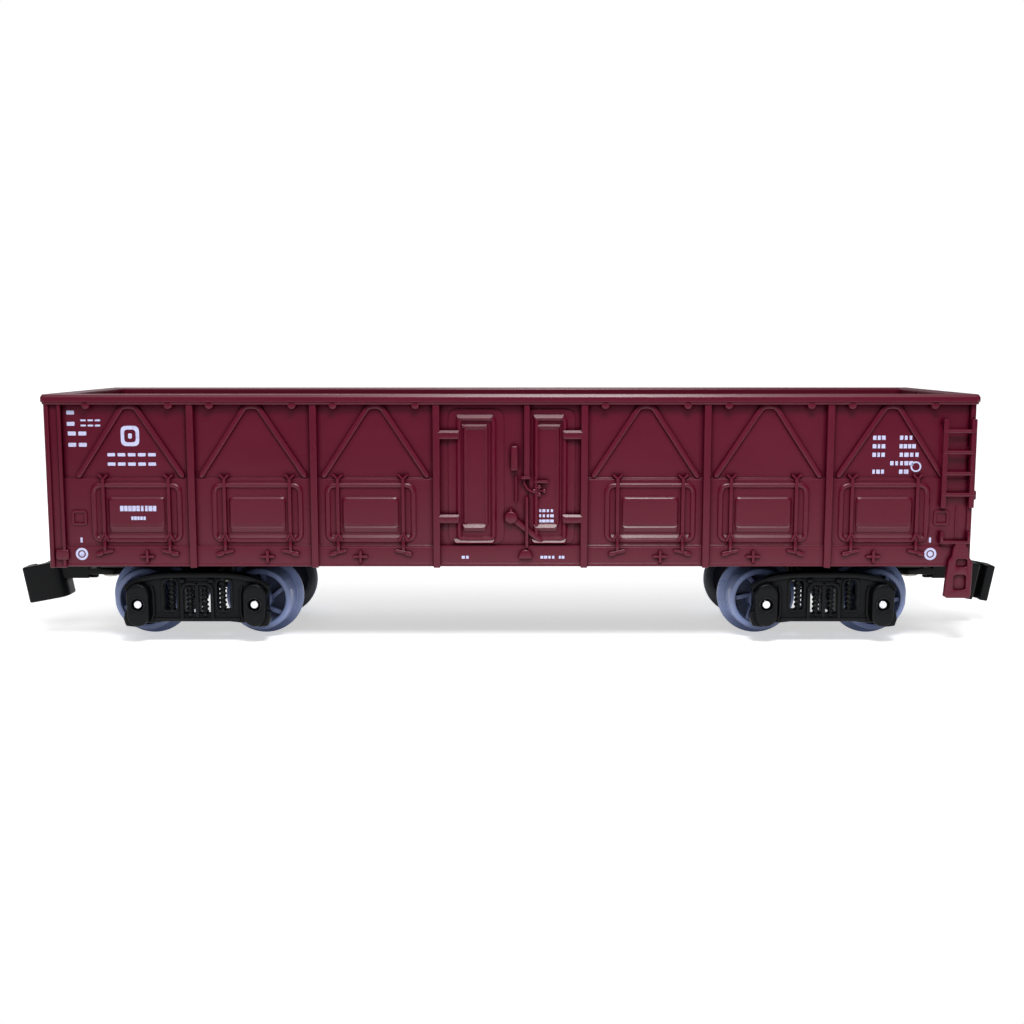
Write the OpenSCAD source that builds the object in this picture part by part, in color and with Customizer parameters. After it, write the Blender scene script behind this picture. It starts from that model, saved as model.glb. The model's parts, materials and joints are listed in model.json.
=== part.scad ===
// Model high-sided open wagon on two bogies, 16.5 mm gauge.
// The origin is under the middle of the wagon, at the height of the flange tips.
// +X runs along the wagon, +Z is up. Every feature is the same after half a turn about Z.

/* [Body] */
// Length over the rim
body_l = 146; // [144:0.5:148]
// Width over the rim
body_w = 37.4; // [37:0.1:38]
// Height of the top of the rim
rim_z = 40.2; // [39.6:0.1:41]
// Height of the lower edge of the sides
sill_z = 13; // [12.9:0.05:13.2]
// Height of the load floor
floor_z = 16.6; // [16.5:0.1:17]
// Thickness of the walls and the floor
wall_t = 1.1; // [0.9:0.05:1.2]
// Width of a side post
post_w = 1; // [0.8:0.1:1.3]

/* [Side panels] */
// Half the width of the door bay, to the middle of its post
door_half = 11.65; // [11.4:0.05:11.9]
// Width of each of the other bays
bay_w = 19.3; // [19:0.05:19.4]
// Width of a hatch frame
hatch_w = 14.2; // [13:0.1:14.4]
// Width of the raised panel in a hatch
hatch_panel_w = 8.3; // [6:0.1:9]
// Width of the bar of a brace
brace_bar = 0.8; // [0.5:0.05:1]

/* [Wheels] */
// Radius of the tread
tread_r = 5.2; // [5:0.05:5.4]
// Radius of the flange
flange_r = 6.5; // [6.3:0.05:6.5]
// Distance between the backs of the two wheels of an axle
back_gap = 14.2; // [14:0.05:14.4]
// Width of a wheel
wheel_w = 5.2; // [5:0.05:5.3]
// Radius of an axle
axle_r = 0.78; // [0.7:0.02:0.9]

/* [Bogies] */
// Distance from the middle of the wagon to a bogie pivot
pivot_x = 50.4; // [49.8:0.1:50.8]
// Distance between the two axles of a bogie
wheelbase = 18.7; // [18.5:0.05:18.9]
// Half the width over the axle boxes
box_face_y = 17.2; // [17:0.05:17.3]
// Half the length of a side frame
frame_half = 11.8; // [11.6:0.05:12]

/* [Couplers] */
// Distance from the bogie pivot to the coupler rivet
rivet_reach = 18.6; // [18.4:0.05:18.8]
// Outward droop of the coupler head, in degrees
droop = 10.5; // [8:0.5:11]
// Length of the coupler head
head_l = 6.75; // [6.4:0.05:7]
// Height of the coupler head
head_h = 6.25; // [6:0.05:6.4]
// Width of the coupler head
head_w = 5.4; // [5:0.1:5.6]

/* [Hidden] */
$fn = 48;

maroon = [0.37, 0.13, 0.19];
black_plastic = [0.09, 0.10, 0.11];
wheel_blue = [0.47, 0.53, 0.68];
steel = [0.75, 0.76, 0.78];

// Body levels, measured outwards from the middle of the wagon
sheet_y = 17.3;
panel_y = 17.6;
sill_y = 17.85;
post_y = 18.3;
inner_y = sheet_y - wall_t;
end_x = body_l / 2 - 0.8;
inner_x = end_x - wall_t;
end_rib_x = end_x + 0.45;
rim_h = 1.6;
rim_over = 0.35;
ledge_z = 27;
sill_top_z = 16.1;
post_foot_z = sill_z - 0.3;
corner_post_w = 2.5;
ladder_back_y = 17.85;
skirt_gap = 0.2;
rail_w = 0.8;
rung_r = 0.36;
rung_pitch = 3.33;

// Underframe levels
plate_t = 1.1;
plate_z = 13.4;
plate_top_z = plate_z + plate_t;
floor_under_z = floor_z - 1;
centre_sill_z = 11.5;
centre_sill_half = 2.6;
boss_z = 11.35;
boss_r = 3.6;

// Screws and rivets
thread_r = 1;
running_gap = 0.07;
axle_gap = 0.09;
screw_x = 24;
screw_r = 0.8;
screw_head_r = 1.6;

// Bogie levels
axle_z = flange_r;
box_r = 1.75;
bolster_z = 8.4;
bolster_top_z = 11.2;
tongue_z = 10;
rivet_r = 0.75;

// A box from its low corner to its high corner.
module block(low, high) {
    translate(low) cube(high - low);
}

// A flat plate of a given outline, standing in the XZ plane from depth y0 out to y1 (towards -Y).
module side_plate(y0, y1) {
    translate([0, -y0, 0]) rotate([90, 0, 0]) linear_extrude(y1 - y0) children();
}

// A rectangle with its corners cut off.
module cut_rect(x0, x1, z0, z1, cut) {
    polygon([
        [x0 + cut, z0], [x1 - cut, z0], [x1, z0 + cut], [x1, z1 - cut],
        [x1 - cut, z1], [x0 + cut, z1], [x0, z1 - cut], [x0, z0 + cut]
    ]);
}

// ---- Body ----

module side_post(x) {
    block([x - post_w / 2, -post_y, post_foot_z], [x + post_w / 2, -inner_y - 0.3, rim_z - rim_h + 0.1]);
}

// Inverted V of two bars with a flat top, on the upper sheet.
module brace(x) {
    top_z = 38.1;
    foot_z = ledge_z + 0.4;
    reach = 8.2;
    flat = 0.95;
    side_plate(sheet_y - 0.3, sheet_y + 0.45) translate([x, 0])
        polygon([
            [-reach - 0.5, foot_z], [-flat, top_z], [flat, top_z], [reach + 0.5, foot_z],
            [reach - 0.5, foot_z], [flat - 0.5, top_z - brace_bar - 0.2],
            [0.5 - flat, top_z - brace_bar - 0.2], [0.5 - reach, foot_z]
        ]);
}

// Drop hatch: a framed panel with a second, smaller panel and two strap bars.
module hatch(x) {
    side_plate(panel_y - 0.3, panel_y + 0.3) translate([x, 0])
        difference() {
            cut_rect(-hatch_w / 2, hatch_w / 2, 17.1, 26.2, 0.8);
            cut_rect(-hatch_w / 2 + 0.6, hatch_w / 2 - 0.6, 17.7, 25.6, 0.6);
        }
    side_plate(panel_y - 0.3, panel_y + 0.3) translate([x, 0])
        cut_rect(-hatch_panel_w / 2, hatch_panel_w / 2, 19.2, 23.8, 0.4);
    for (strap_x = [x - 5.1, x + 5.1])
        block([strap_x - 0.3, -panel_y - 0.45, 16.6], [strap_x + 0.3, -panel_y + 0.3, ledge_z + 0.4]);
}

// Door leaf: a raised frame and a raised panel.
module door_leaf(x0, x1, panel_x0, panel_x1) {
    side_plate(sheet_y - 0.3, panel_y + 0.25) difference() {
        cut_rect(x0, x1, 16.45, 37.8, 1.3);
        cut_rect(x0 + 0.7, x1 - 0.7, 17.1, 37.1, 0.9);
    }
    side_plate(sheet_y - 0.3, panel_y + 0.25) cut_rect(panel_x0, panel_x1, 19.3, 35, 0.5);
}

module door_hinge(x0, x1, z) {
    block([x0, -post_y + 0.1, z], [x1, -inner_y - 0.3, z + 1.3]);
}

module side_relief() {
    block([-end_x - 0.2, -panel_y, sill_top_z - 0.2], [end_x + 0.2, -inner_y - 0.3, ledge_z]);
    block([-end_x - 0.4, -sill_y, sill_z], [end_x + 0.4, -inner_y, sill_top_z]);
    for (bay = [0 : 2]) for (turn = [-1, 1]) side_post(turn * (door_half + bay * bay_w));
    for (bay = [0.5 : 2.5]) for (turn = [-1, 1]) brace(turn * (door_half + bay * bay_w));
    for (x = [22.1, 40, 59.1]) for (turn = [-1, 1]) hatch(turn * x);
    door_leaf(-9.8, -1.2, -7.4, -3.5);
    door_leaf(3.4, 10.2, 3.9, 7.5);
    for (z = [19.8, 33.1]) {
        door_hinge(-door_half, -8.1, z);
        door_hinge(8.3, door_half, z);
    }
    block([2.2, -post_y + 0.1, 15.2], [3, -inner_y - 0.3, rim_z - rim_h]);
    block([0.1, -post_y - 0.1, 28.2], [1.2, -inner_y - 0.3, 32.1]);
}

module end_relief() {
    for (y = [-6.5, 6.5])
        block([end_x - 0.3, y - 0.6, post_foot_z + 0.3], [end_x + 0.75, y + 0.6, rim_z - rim_h + 0.1]);
    for (z = [sill_z, 22.4, 30.8])
        block([end_x - 0.3, -sheet_y, z], [end_rib_x, sheet_y, z + 1.1]);
}

// The post at the -X end stands as proud as the others; the one behind the ladder is narrow and shallower.
module corner_posts() {
    block([-body_l / 2, -post_y, post_foot_z], [-body_l / 2 + corner_post_w, -inner_y, rim_z - rim_h + 0.1]);
    block([body_l / 2 - rail_w, -ladder_back_y, post_foot_z], [body_l / 2, -inner_y, rim_z - rim_h + 0.1]);
}

module body_shell() {
    color(maroon) difference() {
        union() {
            block([-end_x, -sheet_y, sill_z], [end_x, sheet_y, rim_z - 0.2]);
            block([-body_l / 2 - rim_over, -body_w / 2, rim_z - rim_h],
                  [body_l / 2 + rim_over, body_w / 2, rim_z]);
            for (turn = [0, 180]) rotate([0, 0, turn]) {
                side_relief();
                end_relief();
                corner_posts();
            }
        }
        block([-inner_x, -inner_y, floor_z], [inner_x, inner_y, rim_z + 1]);
        difference() {
            block([-inner_x, -inner_y, post_foot_z - 1], [inner_x, inner_y, floor_under_z]);
            for (x = [-screw_x, screw_x]) translate([x, 0, plate_top_z]) cylinder(h = 2, r = 2);
        }
        for (x = [-screw_x, screw_x]) translate([x, 0, plate_top_z - 1]) cylinder(h = 2.6, r = screw_r);
    }
}

// ---- Chassis ----

module underframe() {
    color(black_plastic) difference() {
        union() {
            block([-inner_x + skirt_gap, -inner_y + skirt_gap, plate_z],
                  [inner_x - skirt_gap, inner_y - skirt_gap, plate_top_z]);
            block([-inner_x + skirt_gap, -centre_sill_half, centre_sill_z],
                  [inner_x - skirt_gap, centre_sill_half, plate_z + 0.3]);
            for (x = [-pivot_x, pivot_x]) translate([x, 0, boss_z])
                cylinder(h = plate_top_z - boss_z, r = boss_r);
            for (x = [-25.5 : 17 : 25.5])
                block([x - 0.5, -inner_y + skirt_gap, 12.8], [x + 0.5, inner_y - skirt_gap, plate_z + 0.3]);
            translate([-9, 8, 12.9]) rotate([0, 90, 0]) cylinder(h = 11, r = 1.3);
            translate([11, -8, 12.9]) rotate([0, 90, 0]) cylinder(h = 6, r = 1.4);
        }
        for (x = [-pivot_x, pivot_x]) translate([x, 0, boss_z - 1])
            cylinder(h = plate_top_z - boss_z + 2, r = thread_r);
        for (x = [-screw_x, screw_x]) {
            translate([x, 0, centre_sill_z - 1]) cylinder(h = 2, r = screw_head_r + 0.15);
            translate([x, 0, centre_sill_z]) cylinder(h = 4, r = screw_r + 0.1);
        }
    }
}

module ballast_weight() {
    color(steel) difference() {
        block([-58, -13, plate_top_z + 0.1], [58, 13, floor_under_z - 0.1]);
        for (x = [-screw_x, screw_x]) translate([x, 0, plate_top_z - 1]) cylinder(h = 4, r = 2.3);
    }
}

// Pan-head screw with a cross slot, head down, from the underside of its head at z = 0.
module screw(shank_r, shank_l, head_r, head_h) {
    slot = head_r * 0.35;
    difference() {
        union() {
            translate([0, 0, -head_h]) cylinder(h = head_h, r = head_r);
            cylinder(h = shank_l, r = shank_r);
        }
        for (turn = [0, 90]) rotate([0, 0, turn])
            block([-head_r * 0.7, -slot / 2, -head_h - 1], [head_r * 0.7, slot / 2, -head_h / 2]);
    }
}

module underframe_screws() {
    color(steel) for (x = [-screw_x, screw_x])
        translate([x, 0, centre_sill_z + 1]) screw(screw_r, 3.4, screw_head_r, 0.8);
}

module kingpin_screw() {
    translate([pivot_x, 0, bolster_z - 0.06]) screw(thread_r, 5.6, 2, 0.9);
}

// ---- Ladders and steps, drawn on the -Y side at the +X end ----

// Two rails and four rungs; the inner rail stands on two feet, the outer one lies on the corner post.
module side_ladder() {
    ladder_y = post_y + 0.3;
    rail_low = 22.3;
    rail_high = 36.3;
    color(maroon) {
        block([67.8, -ladder_y, rail_low], [68.6, -ladder_y + 0.4, rail_high]);
        block([72.2, -ladder_y, rail_low], [73, -ladder_back_y, rail_high]);
        block([67.8, -ladder_y + 0.1, rail_high - 1], [68.6, -sheet_y, rail_high - 0.2]);
        block([67.8, -ladder_y + 0.1, rail_low + 0.2], [68.6, -panel_y, rail_low + 1]);
        for (rung = [0 : 3]) translate([67.8, -ladder_y + 0.28, 24.4 + rung * rung_pitch])
            rotate([0, 90, 0]) cylinder(h = 5.2, r = rung_r);
    }
}

// The rails stand on the end ribs, in from the corner, and the lowest rung runs on to a lug.
module end_ladder() {
    color(maroon) translate([body_l / 2, 0, 0]) {
        for (y = [-15.4, -10.8]) {
            block([0, y - rail_w / 2, 22.3], [0.6, y + rail_w / 2, 36.3]);
            for (z = [22.5, 30.9])
                block([end_rib_x - body_l / 2, y - rail_w / 2, z], [0.1, y + rail_w / 2, z + 0.9]);
        }
        for (rung = [0 : 3]) translate([0.35, -15.8, 24.4 + rung * rung_pitch]) rotate([-90, 0, 0])
            cylinder(h = 5.4, r = rung_r - 0.02);
        translate([0.35, -17.5, 24.4]) rotate([-90, 0, 0]) cylinder(h = 2, r = rung_r - 0.02);
        block([0, -17.8, 23.5], [0.6, -16.9, 25]);
    }
}

// Hanging step with two pockets, and the grab above it.
module corner_step() {
    step_y = -post_y - 0.35;
    color(maroon) difference() {
        union() {
            block([68.8, step_y, 7.9], [73, -post_y + 1, post_foot_z]);
            block([69.5, step_y, post_foot_z - 0.1], [73, -sill_y, 14.6]);
            block([70.1, step_y, 14.5], [72.3, -sill_y, 16.7]);
            block([67.9, step_y, 16.6], [68.4, -panel_y, 18.5]);
            block([72.2, step_y, 16.6], [72.7, -ladder_back_y, 18.5]);
            block([67.9, step_y, 16.6], [72.7, step_y + 0.33, 17.1]);
        }
        block([70.6, step_y - 1, 12.9], [72.3, step_y + 0.5, 14.2]);
        block([70.3, step_y - 1, 9.2], [72.2, step_y + 0.5, 11.6]);
    }
}

// ---- Bogies, drawn at the +X end ----

// Outline of a side frame: arched above, stepped below.
module frame_outline() {
    arch_steps = 12;
    arch = [for (i = [0 : arch_steps])
        let (x = frame_half - i * 2 * frame_half / arch_steps) [x, 11.65 - 2.3 * pow(x / frame_half, 4)]];
    polygon(concat([
        [-frame_half, 6.5], [-frame_half + 0.6, 3.4], [-6.6, 3.4], [-4.4, 3.35],
        [4.4, 3.35], [6.6, 3.4], [frame_half - 0.6, 3.4], [frame_half, 6.5]
    ], arch));
}

module spring_pack(x, z0, z1) {
    translate([x, -15.9, z0]) cylinder(h = z1 - z0, r = 0.4);
}

// One side frame with its axle boxes and springs, on the -Y side.
module side_frame() {
    axle_x = wheelbase / 2;
    difference() {
        union() {
            side_plate(14, 16.3) difference() {
                frame_outline();
                for (turn = [-1, 1]) {
                    translate([turn * 4.5, 0]) cut_rect(-1.5, 1.5, 5.6, 10.4, 0.5);
                    translate([turn * 1.2, 0]) cut_rect(-0.95, 0.95, 4.7, 9, 0.5);
                }
            }
            for (x = [-axle_x, axle_x]) translate([x, 0, 0]) {
                side_plate(13, box_face_y) union() {
                    translate([-box_r, 4.7]) square([2 * box_r, 3.4]);
                    for (z = [4.7, 8.1]) translate([0, z]) circle(r = box_r);
                }
            }
            for (turn = [-1, 1]) {
                spring_pack(turn * 4.3, 5.4, 10.6);
                spring_pack(turn * 1.2, 4.5, 9.2);
            }
        }
        for (x = [-axle_x, axle_x]) translate([x, -12, axle_z]) rotate([90, 0, 0])
            cylinder(h = 8, r = axle_r + axle_gap);
    }
}

module bogie_frame() {
    translate([pivot_x, 0, 0]) difference() {
        union() {
            for (turn = [0, 180]) rotate([0, 0, turn]) side_frame();
            block([-2.3, -14.2, bolster_z], [2.3, 14.2, bolster_top_z]);
            block([-3.6, -5.5, bolster_z], [3.6, 5.5, bolster_top_z]);
            block([3, -2.6, tongue_z], [rivet_reach, 2.6, bolster_top_z]);
            translate([rivet_reach, 0, tongue_z]) cylinder(h = bolster_top_z - tongue_z, r = 2.6);
        }
        translate([0, 0, bolster_z - 1]) cylinder(h = 5, r = thread_r + running_gap);
        translate([rivet_reach, 0, tongue_z - 1]) cylinder(h = 4, r = rivet_r);
    }
}

module axle(x) {
    translate([pivot_x + x, 16.9, axle_z]) rotate([90, 0, 0]) cylinder(h = 33.8, r = axle_r);
}

// Flanged wheel on the -Y side: a revolved rim, web and hub with slanted ribs on its face.
module wheel(x) {
    back = back_gap / 2;
    face = back + wheel_w;
    web_back = back + 1.5;
    web_face = face - 1.3;
    ring_r = 4.1;
    hub_r = 1.9;
    ribs = 6;
    translate([pivot_x + x, 0, axle_z]) rotate([90, 0, 0]) {
        rotate_extrude() polygon([
            [axle_r - 0.01, back], [hub_r, back], [hub_r, web_back], [ring_r + 0.5, web_back],
            [ring_r + 0.6, back], [flange_r - 0.5, back], [flange_r, back + 0.35],
            [flange_r, back + 0.75], [tread_r + 0.12, back + 1.2], [tread_r, face - 0.2],
            [tread_r - 0.2, face], [ring_r, face], [ring_r - 0.2, web_face],
            [hub_r, web_face], [hub_r - 0.2, face], [axle_r - 0.01, face]
        ]);
        for (i = [0 : ribs - 1]) rotate([0, 0, i * 360 / ribs]) translate([hub_r - 0.3, 0.2, 0])
            rotate([0, 0, 18]) block([0, -0.38, web_face - 0.2], [ring_r - hub_r + 0.3, 0.38, face - 0.5]);
    }
}

// Block hook coupler: an eye under the tongue, a deeper arm and a drooping, slotted head.
module coupler() {
    eye_z = 8.75;
    eye_top_z = 9.88;
    nose = 1.6;
    throat = 1.7;
    hook_reach = 1;
    outer_x = 83.7;
    outer_z = 10;
    difference() {
        union() {
            translate([pivot_x + rivet_reach, 0, eye_z]) cylinder(h = eye_top_z - eye_z, r = 2.3);
            block([pivot_x + rivet_reach, -1.9, eye_z], [72.5, 1.9, eye_top_z]);
            block([72.4, -1.9, 8.1], [77.6, 1.9, 10.4]);
            translate([outer_x, 0, outer_z]) rotate([0, droop, 0]) difference() {
                block([-head_l, -head_w / 2, -head_h], [0, head_w / 2, 0]);
                block([-nose - throat, -head_w / 2 - 1, -head_h - 1], [-nose, hook_reach, 1]);
                block([-nose - 0.1, -head_w / 2 - 1, -head_h - 1], [1, -hook_reach, 1]);
            }
        }
        translate([pivot_x + rivet_reach, 0, eye_z - 1]) cylinder(h = 4, r = rivet_r + running_gap);
    }
}

module coupler_rivet() {
    translate([pivot_x + rivet_reach, 0, 8.2]) {
        cylinder(h = 0.48, r = 1.5);
        cylinder(h = bolster_top_z - 8.2, r = rivet_r);
    }
}

// ---- The left half repeats the right half after half a turn ----

module half_turn() {
    rotate([0, 0, 180]) children();
}

outer_axle = wheelbase / 2;
inner_axle = -wheelbase / 2;

module rear_wheel(x) {
    mirror([0, 1, 0]) wheel(x);
}

body_shell();
underframe();
ballast_weight();
underframe_screws();
side_ladder();  // side_ladder_front
half_turn() side_ladder();  // side_ladder_rear
end_ladder();  // end_ladder_right
half_turn() end_ladder();  // end_ladder_left
corner_step();  // corner_step_front
half_turn() corner_step();  // corner_step_rear
color(steel) kingpin_screw();  // kingpin_screw_right
color(steel) half_turn() kingpin_screw();  // kingpin_screw_left

color(black_plastic) bogie_frame();  // bogie_frame_right
color(steel) axle(outer_axle);  // axle_right_outer
color(wheel_blue) wheel(outer_axle);  // wheel_right_outer_front
color(wheel_blue) rear_wheel(outer_axle);  // wheel_right_outer_rear
color(steel) axle(inner_axle);  // axle_right_inner
color(wheel_blue) wheel(inner_axle);  // wheel_right_inner_front
color(wheel_blue) rear_wheel(inner_axle);  // wheel_right_inner_rear
color(black_plastic) coupler();  // coupler_right
color(steel) coupler_rivet();  // coupler_rivet_right

color(black_plastic) half_turn() bogie_frame();  // bogie_frame_left
color(steel) half_turn() axle(outer_axle);  // axle_left_outer
color(wheel_blue) half_turn() rear_wheel(outer_axle);  // wheel_left_outer_front
color(wheel_blue) half_turn() wheel(outer_axle);  // wheel_left_outer_rear
color(steel) half_turn() axle(inner_axle);  // axle_left_inner
color(wheel_blue) half_turn() rear_wheel(inner_axle);  // wheel_left_inner_front
color(wheel_blue) half_turn() wheel(inner_axle);  // wheel_left_inner_rear
color(black_plastic) half_turn() coupler();  // coupler_left
color(steel) half_turn() coupler_rivet();  // coupler_rivet_left
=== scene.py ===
"""High-sided open wagon on two bogies: the looks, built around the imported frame.

Sizes inside the drawing functions are in millimetres; a finished piece is scaled to metres.
"""

import json
import math

import bmesh
import bpy
from mathutils import Matrix, Vector


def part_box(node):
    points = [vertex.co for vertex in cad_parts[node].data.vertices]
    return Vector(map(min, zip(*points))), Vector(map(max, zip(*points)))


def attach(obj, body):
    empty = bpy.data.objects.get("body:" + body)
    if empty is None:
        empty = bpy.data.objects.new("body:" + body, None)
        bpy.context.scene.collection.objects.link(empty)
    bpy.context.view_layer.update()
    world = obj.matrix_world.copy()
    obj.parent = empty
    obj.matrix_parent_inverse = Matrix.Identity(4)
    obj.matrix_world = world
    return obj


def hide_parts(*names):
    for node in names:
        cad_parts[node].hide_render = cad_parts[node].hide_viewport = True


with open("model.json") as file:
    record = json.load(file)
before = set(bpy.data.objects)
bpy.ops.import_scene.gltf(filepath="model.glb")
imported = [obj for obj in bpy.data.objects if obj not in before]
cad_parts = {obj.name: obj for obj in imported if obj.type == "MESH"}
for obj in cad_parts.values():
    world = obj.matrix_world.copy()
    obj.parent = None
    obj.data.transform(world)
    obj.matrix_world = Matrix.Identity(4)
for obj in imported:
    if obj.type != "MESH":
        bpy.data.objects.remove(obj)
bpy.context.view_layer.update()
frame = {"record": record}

MM = 0.001


def turned(angle, axis):
    """A turn in degrees about an axis."""
    return Matrix.Rotation(math.radians(angle), 4, axis)


def moved(x, y, z):
    return Matrix.Translation((x, y, z))


# ---- Driving sizes, read from the frame ----

RIM_OVERHANG = 0.35
POST_DROP = 0.3
body_low, body_high = (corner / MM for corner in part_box("body_shell"))
RIM_X, HALF_W, RIM_Z = body_high
HALF_L = RIM_X - RIM_OVERHANG
SILL_Z = body_low.z + POST_DROP
pivots = {joint["name"]: joint["pos_m"] for joint in frame["record"]["behaviour"]["joints"]}
PIVOT_X = pivots["bogie_right_swivel"][0] / MM
RIVET_X = pivots["coupler_right_swing"][0] / MM
AXLE_Z = pivots["wheelset_right_outer_spin"][2] / MM
AXLE_X = pivots["wheelset_right_outer_spin"][0] / MM - PIVOT_X

# Depths of the side, measured outwards from the middle of the wagon
SHEET_Y = 17.3
PANEL_Y = 17.6
SILL_Y = 17.85
POST_Y = 18.3
INNER_Y = 16.2
END_X = HALF_L - 0.8
INNER_X = END_X - 1.1
# How deep the raised parts of the front side are rooted in its sheet
ROOT_Y = -SHEET_Y + 0.4
# Heights on the side
RIM_UNDER = RIM_Z - 1.65
POST_TOP = RIM_UNDER + 0.3
LEDGE_Z = 27.0
SILL_TOP = 16.1
FLOOR_Z = 16.6
POST_FOOT = SILL_Z - POST_DROP
# The bays along the side
DOOR_HALF = 11.65
BAY_W = 19.3
# The rungs of the ladders
RUNGS = [24.4 + 3.33 * rung for rung in range(4)]

SIDES = (-1, 1)
HALF_TURN = turned(180, "Z")
BOTH_WAYS = (Matrix(), HALF_TURN)


# ---- Objects and nodes ----

def in_scene(name, data):
    made = bpy.data.objects.new(name, data)
    bpy.context.scene.collection.objects.link(made)
    return made


def wire(tree, made, inputs):
    """Links each named input of a node, or gives it a plain value."""
    for label, value in inputs.items():
        if isinstance(value, bpy.types.NodeSocket):
            tree.links.new(value, made.inputs[label])
        else:
            made.inputs[label].default_value = value
    return made


def node(tree, kind, inputs={}, **settings):
    made = tree.nodes.new(kind)
    for label, value in settings.items():
        setattr(made, label, value)
    return wire(tree, made, inputs)


def new_material(name):
    material = bpy.data.materials.new(name)
    material.use_nodes = True
    return material, material.node_tree, material.node_tree.nodes["Principled BSDF"]


# ---- Camera, floor and light ----

def place_camera():
    """Long lens, a little above the rim, square on to the side."""
    aside, back, rise, tilt = 0.26, 199, 6.8, 7.24
    data = bpy.data.cameras.new("camera")
    data.sensor_width = 36
    data.lens = 44.8
    camera = in_scene("camera", data)
    camera.location = (aside * MM, -(HALF_W + back) * MM, (RIM_Z + rise) * MM)
    camera.rotation_euler = (math.radians(90 - tilt), 0, 0)
    bpy.context.scene.camera = camera


def sun(name, lean, swing, spread_angle, power):
    """A soft sun: how far it leans to the front and how it is swung round, in degrees."""
    data = bpy.data.lights.new(name, "SUN")
    data.energy = power
    data.angle = math.radians(spread_angle)
    in_scene(name, data).rotation_euler = (math.radians(lean), 0, math.radians(swing))


def softbox(name, place, target, size, power):
    """A rectangular light turned towards a point, in millimetres and watts."""
    data = bpy.data.lights.new(name, "AREA")
    data.shape = "RECTANGLE"
    data.size, data.size_y = size[0] * MM, size[1] * MM
    data.energy = power
    lamp = in_scene(name, data)
    lamp.location = Vector(place) * MM
    lamp.rotation_euler = (Vector(target) - Vector(place)).to_track_quat("-Z", "Y").to_euler()


def light_studio():
    """A softbox above and in front, broad light over all, and a white surround that gives little light."""
    softbox("main", (20, -152, 205), (6, -10, 25), (76, 66), 0.53)
    sun("overhead", 24, -10, 60, 1.2)
    sun("back_fill", -48, 20, 50, 0.8)
    world = bpy.data.worlds.new("room")
    world.use_nodes = True
    tree = world.node_tree
    seen = wire(tree, tree.nodes["Background"], {"Color": (1, 1, 1, 1)})
    room = node(tree, "ShaderNodeBackground", {"Color": (0.92, 0.95, 1, 1), "Strength": 0.22})
    choice = node(tree, "ShaderNodeMixShader", {
        "Fac": node(tree, "ShaderNodeLightPath").outputs["Is Camera Ray"],
        1: room.outputs["Background"], 2: seen.outputs["Background"]})
    wire(tree, tree.nodes["World Output"], {"Surface": choice.outputs["Shader"]})
    bpy.context.scene.world = world
    bpy.context.scene.view_settings.view_transform = "Standard"


def lay_floor():
    mesh = bpy.data.meshes.new("floor")
    far, near = 3.0, -0.15
    mesh.from_pydata([(-far, near, 0), (far, near, 0), (far, far, 0), (-far, far, 0)], [], [(0, 1, 2, 3)])
    material, tree, shader = new_material("floor_white")
    wire(tree, shader, {"Base Color": (0.8, 0.8, 0.8, 1), "Emission Color": (1, 1, 1, 1),
                        "Emission Strength": 0.55, "Roughness": 0.8})
    mesh.materials.append(material)
    in_scene("floor", mesh)


# ---- Outlines ----

def rect(x0, x1, z0, z1):
    return [(x0, z0), (x1, z0), (x1, z1), (x0, z1)]


def arc(x, z, radius, start, stop, steps=8):
    """Points on an arc, from one angle in degrees to another."""
    turns = [math.radians(start + (stop - start) * i / steps) for i in range(steps + 1)]
    return [(x + radius * math.cos(a), z + radius * math.sin(a)) for a in turns]


def circle(x, z, radius, steps=24):
    return arc(x, z, radius, 0, 360, steps)[:-1]


def rounded(points, radius, steps=4):
    """The same closed outline with its corners turned into curves."""
    outline = []
    for i, point in enumerate(points):
        here = Vector(point)
        before = Vector(points[i - 1]) - here
        after = Vector(points[(i + 1) % len(points)]) - here
        half = before.angle(after) / 2
        if half > math.radians(88):
            outline.append(tuple(here))
            continue
        corner = radius[i] if isinstance(radius, tuple) else radius
        run = min(corner / math.tan(half), 0.48 * before.length, 0.48 * after.length)
        start = here + before.normalized() * run
        stop = here + after.normalized() * run
        for step in range(steps + 1):
            t = step / steps
            outline.append(tuple(start * (1 - t) ** 2 + here * 2 * t * (1 - t) + stop * t ** 2))
    return outline


# Cross-sections of a raised ridge: share of its width across, share of its height up
SQUARE_BAR = [(-0.5, -0.3), (-0.5, 0.6), (-0.42, 0.88), (-0.28, 1),
              (0.28, 1), (0.42, 0.88), (0.5, 0.6), (0.5, -0.3)]
SOFT_RIDGE = [(-0.5, -0.3), (-0.5, 0.0), (-0.34, 0.62), (-0.16, 0.94), (0, 1), (0.16, 0.94), (0.34, 0.62),
              (0.5, 0.0), (0.5, -0.3)]
BEVELLED = [(-0.5, -0.3), (-0.5, 0), (-0.14, 1), (0.14, 1), (0.5, 0), (0.5, -0.3)]


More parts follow.
